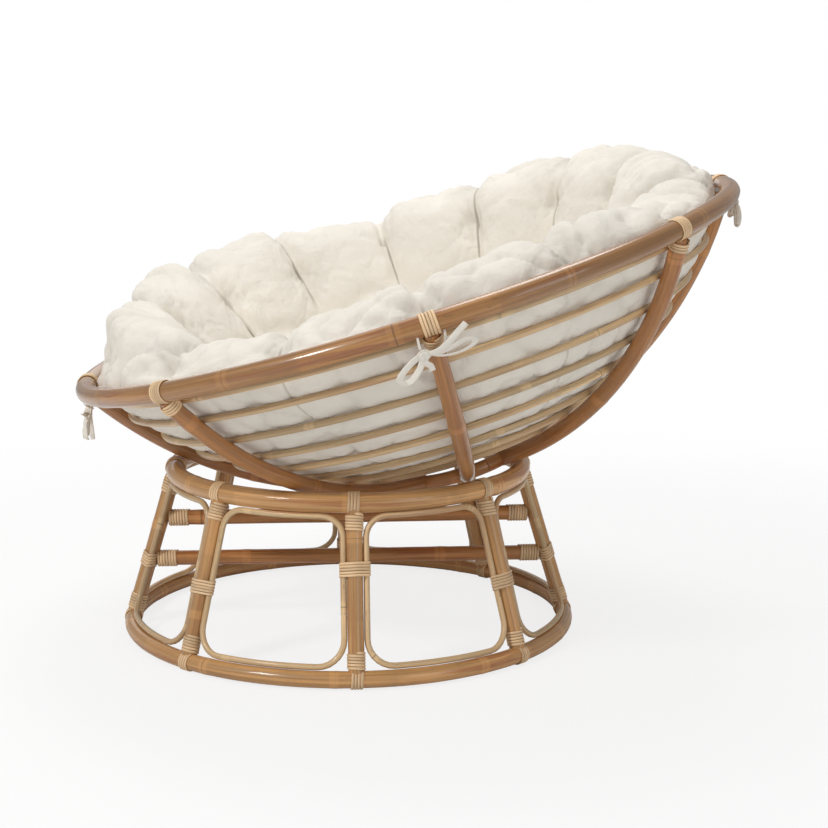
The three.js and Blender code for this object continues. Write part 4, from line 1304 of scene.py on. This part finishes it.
class PAPASAN_OT_ties(bpy.types.Operator):
    """Tie the four tape bows under the rim"""
    bl_idname = "papasan.ties"
    bl_label = "Ties"

    def execute(self, context):
        bowl = context.scene.papasan_bowl
        plan = BowlPlan(bowl)
        material = finish_of(context, "cotton")
        for number in range(1, 5):
            azimuth = 2 * math.pi * (number - 1) / 4
            droop, spread = ((0.0, 1.0), (0.35, 0.66), (0.2, 1.0), (0.6, 1.0))[number - 1]
            paths = self.bow(plan, azimuth, droop, spread)
            made = sweep(f"bow_{number}", paths, "bowl", material, "cushion_cloth", [f"tie_{number}"], width=0.0080,
                         thickness=0.0013, sides=10, wander=0.001, ring_spacing=5.0, ring_swell=0.0, seed=0.1 * number)
            weave_from_grain(made)
        return {"FINISHED"}

    @staticmethod
    def bow(plan, azimuth, droop, spread):
        """The runs of one bow, with places given across and down from its knot, and out from the rib."""
        knot_drop = plan.sizes.rim_thickness / 2 + 0.0085
        out = plan.sizes.rib_arc + plan.sizes.rib_thickness / 2 + 0.006
        side = tilted(sideways(azimuth))
        beside_rib = -0.018

        def spot(across, down, lift):
            angle = plan.rim_angle - (knot_drop + down) / plan.rim_arc
            return bowl_point(azimuth, angle, out + lift) + side * (across + beside_rib)

        def hanging(across, down, lift):
            return spot(0, 0, lift) + side * across * (1 - 0.5 * droop) - UP * (down + abs(across) * droop)

        normal = bowl_facing(azimuth, plan.rim_angle - knot_drop / plan.rim_arc)
        upright = (spot(0, -0.01, 0) - spot(0, 0.01, 0)).normalized()
        loops_and_tails = (
            [(0, 0, 0), (-0.012, 0.000, 0.006), (-0.029, 0.010, 0.008), (-0.040, 0.024, 0.006), (-0.038, 0.036, 0.003),
             (-0.027, 0.038, 0.002), (-0.015, 0.026, 0.003), (-0.006, 0.012, 0.004), (0, 0, 0)],
            [(0, 0, 0), (0.018, 0.001, 0.006), (0.038, -0.004, 0.009), (0.058, -0.009, 0.009), (0.070, -0.002, 0.006),
             (0.063, 0.009, 0.003), (0.042, 0.012, 0.004), (0.020, 0.007, 0.005), (0, 0, 0)],
            [(0, 0, 0), (0.014, -0.004, 0.009), (0.032, -0.013, 0.012), (0.048, -0.026, 0.013), (0.063, -0.035, 0.011)],
            [(0, 0, 0), (-0.001, 0.010, 0.006), (0.004, 0.019, 0.005), (0.005, 0.028, 0.005)],
        )
        straps = (
            [(0.0005, -0.0245, -0.030), (-0.002, -0.018, -0.012), (-0.003, -0.009, -0.001), (0, 0, 0)],
            [(0.0345, -0.0245, -0.030), (0.035, -0.017, -0.010), (0.030, -0.008, 0.001), (0.016, -0.002, 0.003),
             (0, 0, 0)],
        )
        paths = []
        for number, run in enumerate(loops_and_tails):
            line = smooth_run([(hanging if droop else spot)(*(length * spread for length in place)) for place in run], 40)
            turn = math.radians((55, -40, 25, 10)[number])
            facings = [(normal * math.cos(turn * step / 40) + upright * math.sin(turn * step / 40)).normalized()
                       for step in range(len(line))]
            if droop:
                facings = [(normal * 0.35 + side).normalized()] * len(line)
            paths.append({"points": line, "facings": facings, "girths": [1.15 * spread ** 0.5] * len(line)})
        for run in straps:
            line = smooth_run([spot(*place) for place in run], 24)
            paths.append({"points": line, "facings": [normal] * len(line), "girths": [0.45] * len(line)})
        for lift, half in ((0.0035, 0.0055), (0.0055, 0.0035)):
            knot = [spot(math.sin(angle) * half, math.cos(angle) * half * 0.9, lift)
                    for angle in np.linspace(0, 2 * math.pi, 17)]
            paths.append({"points": knot, "facings": [normal] * len(knot), "girths": [1.15] * len(knot)})
        return paths


def smooth_run(points, count):
    """A smooth line through points in space."""
    points = [np.array(point) for point in points]
    padded_points = [2 * points[0] - points[1], *points, 2 * points[-1] - points[-2]]
    fine = []
    for index in range(1, len(padded_points) - 2):
        before, here, following, last = padded_points[index - 1:index + 3]
        for share in np.linspace(0, 1, 10, endpoint=False):
            fine.append(0.5 * (2 * here + (following - before) * share
                               + (2 * before - 5 * here + 4 * following - last) * share ** 2
                               + (3 * here - before - 3 * following + last) * share ** 3))
    fine.append(points[-1])
    fine = np.array(fine)
    travel = np.concatenate([[0], np.cumsum(np.linalg.norm(np.diff(fine, axis=0), axis=1))])
    wanted = np.linspace(0, travel[-1], count + 1)
    return [Vector([np.interp(at, travel, fine[:, axis]) for axis in range(3)]) for at in wanted]


def weave_from_grain(made):
    """A UV map for a tape, along and across it, from what its sweep kept."""
    mesh = made.data
    grain = np.zeros(len(mesh.vertices) * 3)
    mesh.attributes["grain"].data.foreach_get("vector", grain)
    grain = grain.reshape(-1, 3)
    layer = mesh.uv_layers.new(name="weave")
    corners = np.zeros(len(mesh.loops), dtype=np.int32)
    mesh.loops.foreach_get("vertex_index", corners)
    layer.data.foreach_set("uv", grain[corners][:, :2].ravel())


# ---- stage


class PAPASAN_OT_stage(bpy.types.Operator):
    """Make the floor, the soft lights and the camera"""
    bl_idname = "papasan.stage"
    bl_label = "Stage"

    def execute(self, context):
        self.floor()
        self.lights(context)
        self.camera(context)
        context.scene.view_settings.view_transform = "Standard"
        return {"FINISHED"}

    @staticmethod
    def floor():
        size = 14.0
        mesh = bpy.data.meshes.new("floor")
        mesh.from_pydata([(-size, -size, 0), (size, -size, 0), (size, size, 0), (-size, size, 0)], [], [(0, 1, 2, 3)])
        made = bpy.data.objects.new("floor", mesh)
        bpy.context.scene.collection.objects.link(made)
        material = bpy.data.materials.new("pale_floor")
        material.use_nodes = True
        tree = material.node_tree
        tree.nodes.clear()
        board = Board(tree)
        path = board.add("ShaderNodeLightPath")
        seen = Wire(board, path.outputs["Is Camera Ray"])
        matte = board.node("ShaderNodeBsdfDiffuse", {}, {"Color": (0.9, 0.9, 0.9, 1)})
        glow = board.node("ShaderNodeEmission", {}, {"Color": (1, 1, 1, 1), "Strength": 1.0})
        away = board.node("ShaderNodeVectorMath", {"operation": "LENGTH"}, {
            0: board.node("ShaderNodeTexCoord", output="Object")}, output="Value")
        share = seen * (0.80 + 0.20 * board.ramp(away, 0.8, 2.0))
        mixed = board.node("ShaderNodeMixShader", {}, {0: share, 1: matte, 2: glow})
        output = board.add("ShaderNodeOutputMaterial")
        board.plug(mixed, output.inputs["Surface"])
        mesh.materials.append(material)

    @staticmethod
    def lights(context):
        world = bpy.data.worlds.new("soft_room")
        world.use_nodes = True
        tree = world.node_tree
        tree.nodes.clear()
        board = Board(tree)
        path = board.add("ShaderNodeLightPath")
        seen = Wire(board, path.outputs["Is Camera Ray"])
        strength = 0.36 + 0.64 * seen
        glow = board.node("ShaderNodeBackground", {}, {"Color": (1, 1, 1, 1), "Strength": strength})
        output = board.add("ShaderNodeOutputWorld")
        board.plug(glow, output.inputs["Surface"])
        context.scene.world = world
        for name, place, energy, size in (
                ("key_light", (2.2, -2.6, 2.7), 62, 0.7), ("fill_light", (2.9, 2.2, 1.4), 17, 1.6),
                ("top_light", (-0.9, 0.1, 3.2), 39, 1.4), ("back_light", (-2.8, -0.6, 1.9), 12, 2.2)):
            data = bpy.data.lights.new(name, "AREA")
            data.energy = energy
            data.size = size
            light = bpy.data.objects.new(name, data)
            light.location = place
            aim = Vector((0, -0.05, 0.42)) - light.location
            light.rotation_euler = aim.to_track_quat("-Z", "Y").to_euler()
            context.scene.collection.objects.link(light)

    @staticmethod
    def camera(context):
        data = bpy.data.cameras.new("camera")
        data.sensor_width = SENSOR_WIDTH
        data.lens = SENSOR_WIDTH * IMAGE_FOCUS / IMAGE_SIZE
        camera = bpy.data.objects.new("camera", data)
        camera.location = STAND_FOOT + Vector((2.800, -0.074, 0.834))
        down, yaw = math.radians(9.87), math.radians(3.70)
        forward = Vector((-math.cos(down) * math.cos(yaw), math.cos(down) * math.sin(yaw), -math.sin(down)))
        camera.rotation_euler = forward.to_track_quat("-Z", "Y").to_euler()
        context.scene.collection.objects.link(camera)
        context.scene.camera = camera


class PAPASAN_PT_panel(bpy.types.Panel):
    """Lists what the chair is made of"""
    bl_label = "Papasan Chair"
    bl_idname = "PAPASAN_PT_panel"
    bl_space_type = "VIEW_3D"
    bl_region_type = "UI"
    bl_category = "Papasan"

    def draw(self, context):
        for operator in OPERATORS:
            self.layout.operator(operator.bl_idname)


OPERATORS = (PAPASAN_OT_stage, PAPASAN_OT_stand_rings, PAPASAN_OT_posts, PAPASAN_OT_bay_loops, PAPASAN_OT_cross_bars,
             PAPASAN_OT_post_lashings, PAPASAN_OT_rim, PAPASAN_OT_ribs, PAPASAN_OT_hoops, PAPASAN_OT_rim_lashings,
             PAPASAN_OT_cushion, PAPASAN_OT_ties)
GROUPS = {"papasan_stand": CaneStandSizes, "papasan_bowl": BowlSizes, "papasan_lashing": LashingSizes,
          "papasan_cushion": CushionSizes, "papasan_finishes": Finishes}


def register():
    for kind in (*GROUPS.values(), *OPERATORS, PAPASAN_PT_panel):
        bpy.utils.register_class(kind)
    for name, group in GROUPS.items():
        setattr(bpy.types.Scene, name, bpy.props.PointerProperty(type=group))


def unregister():
    for name in GROUPS:
        delattr(bpy.types.Scene, name)
    for kind in reversed((*GROUPS.values(), *OPERATORS, PAPASAN_PT_panel)):
        bpy.utils.unregister_class(kind)


def main():
    """Builds the chair piece by piece."""
    register()
    for operator in OPERATORS:
        name = operator.bl_idname.split(".")[1]
        getattr(bpy.ops.papasan, name)()


if __name__ == "__main__":
    main()
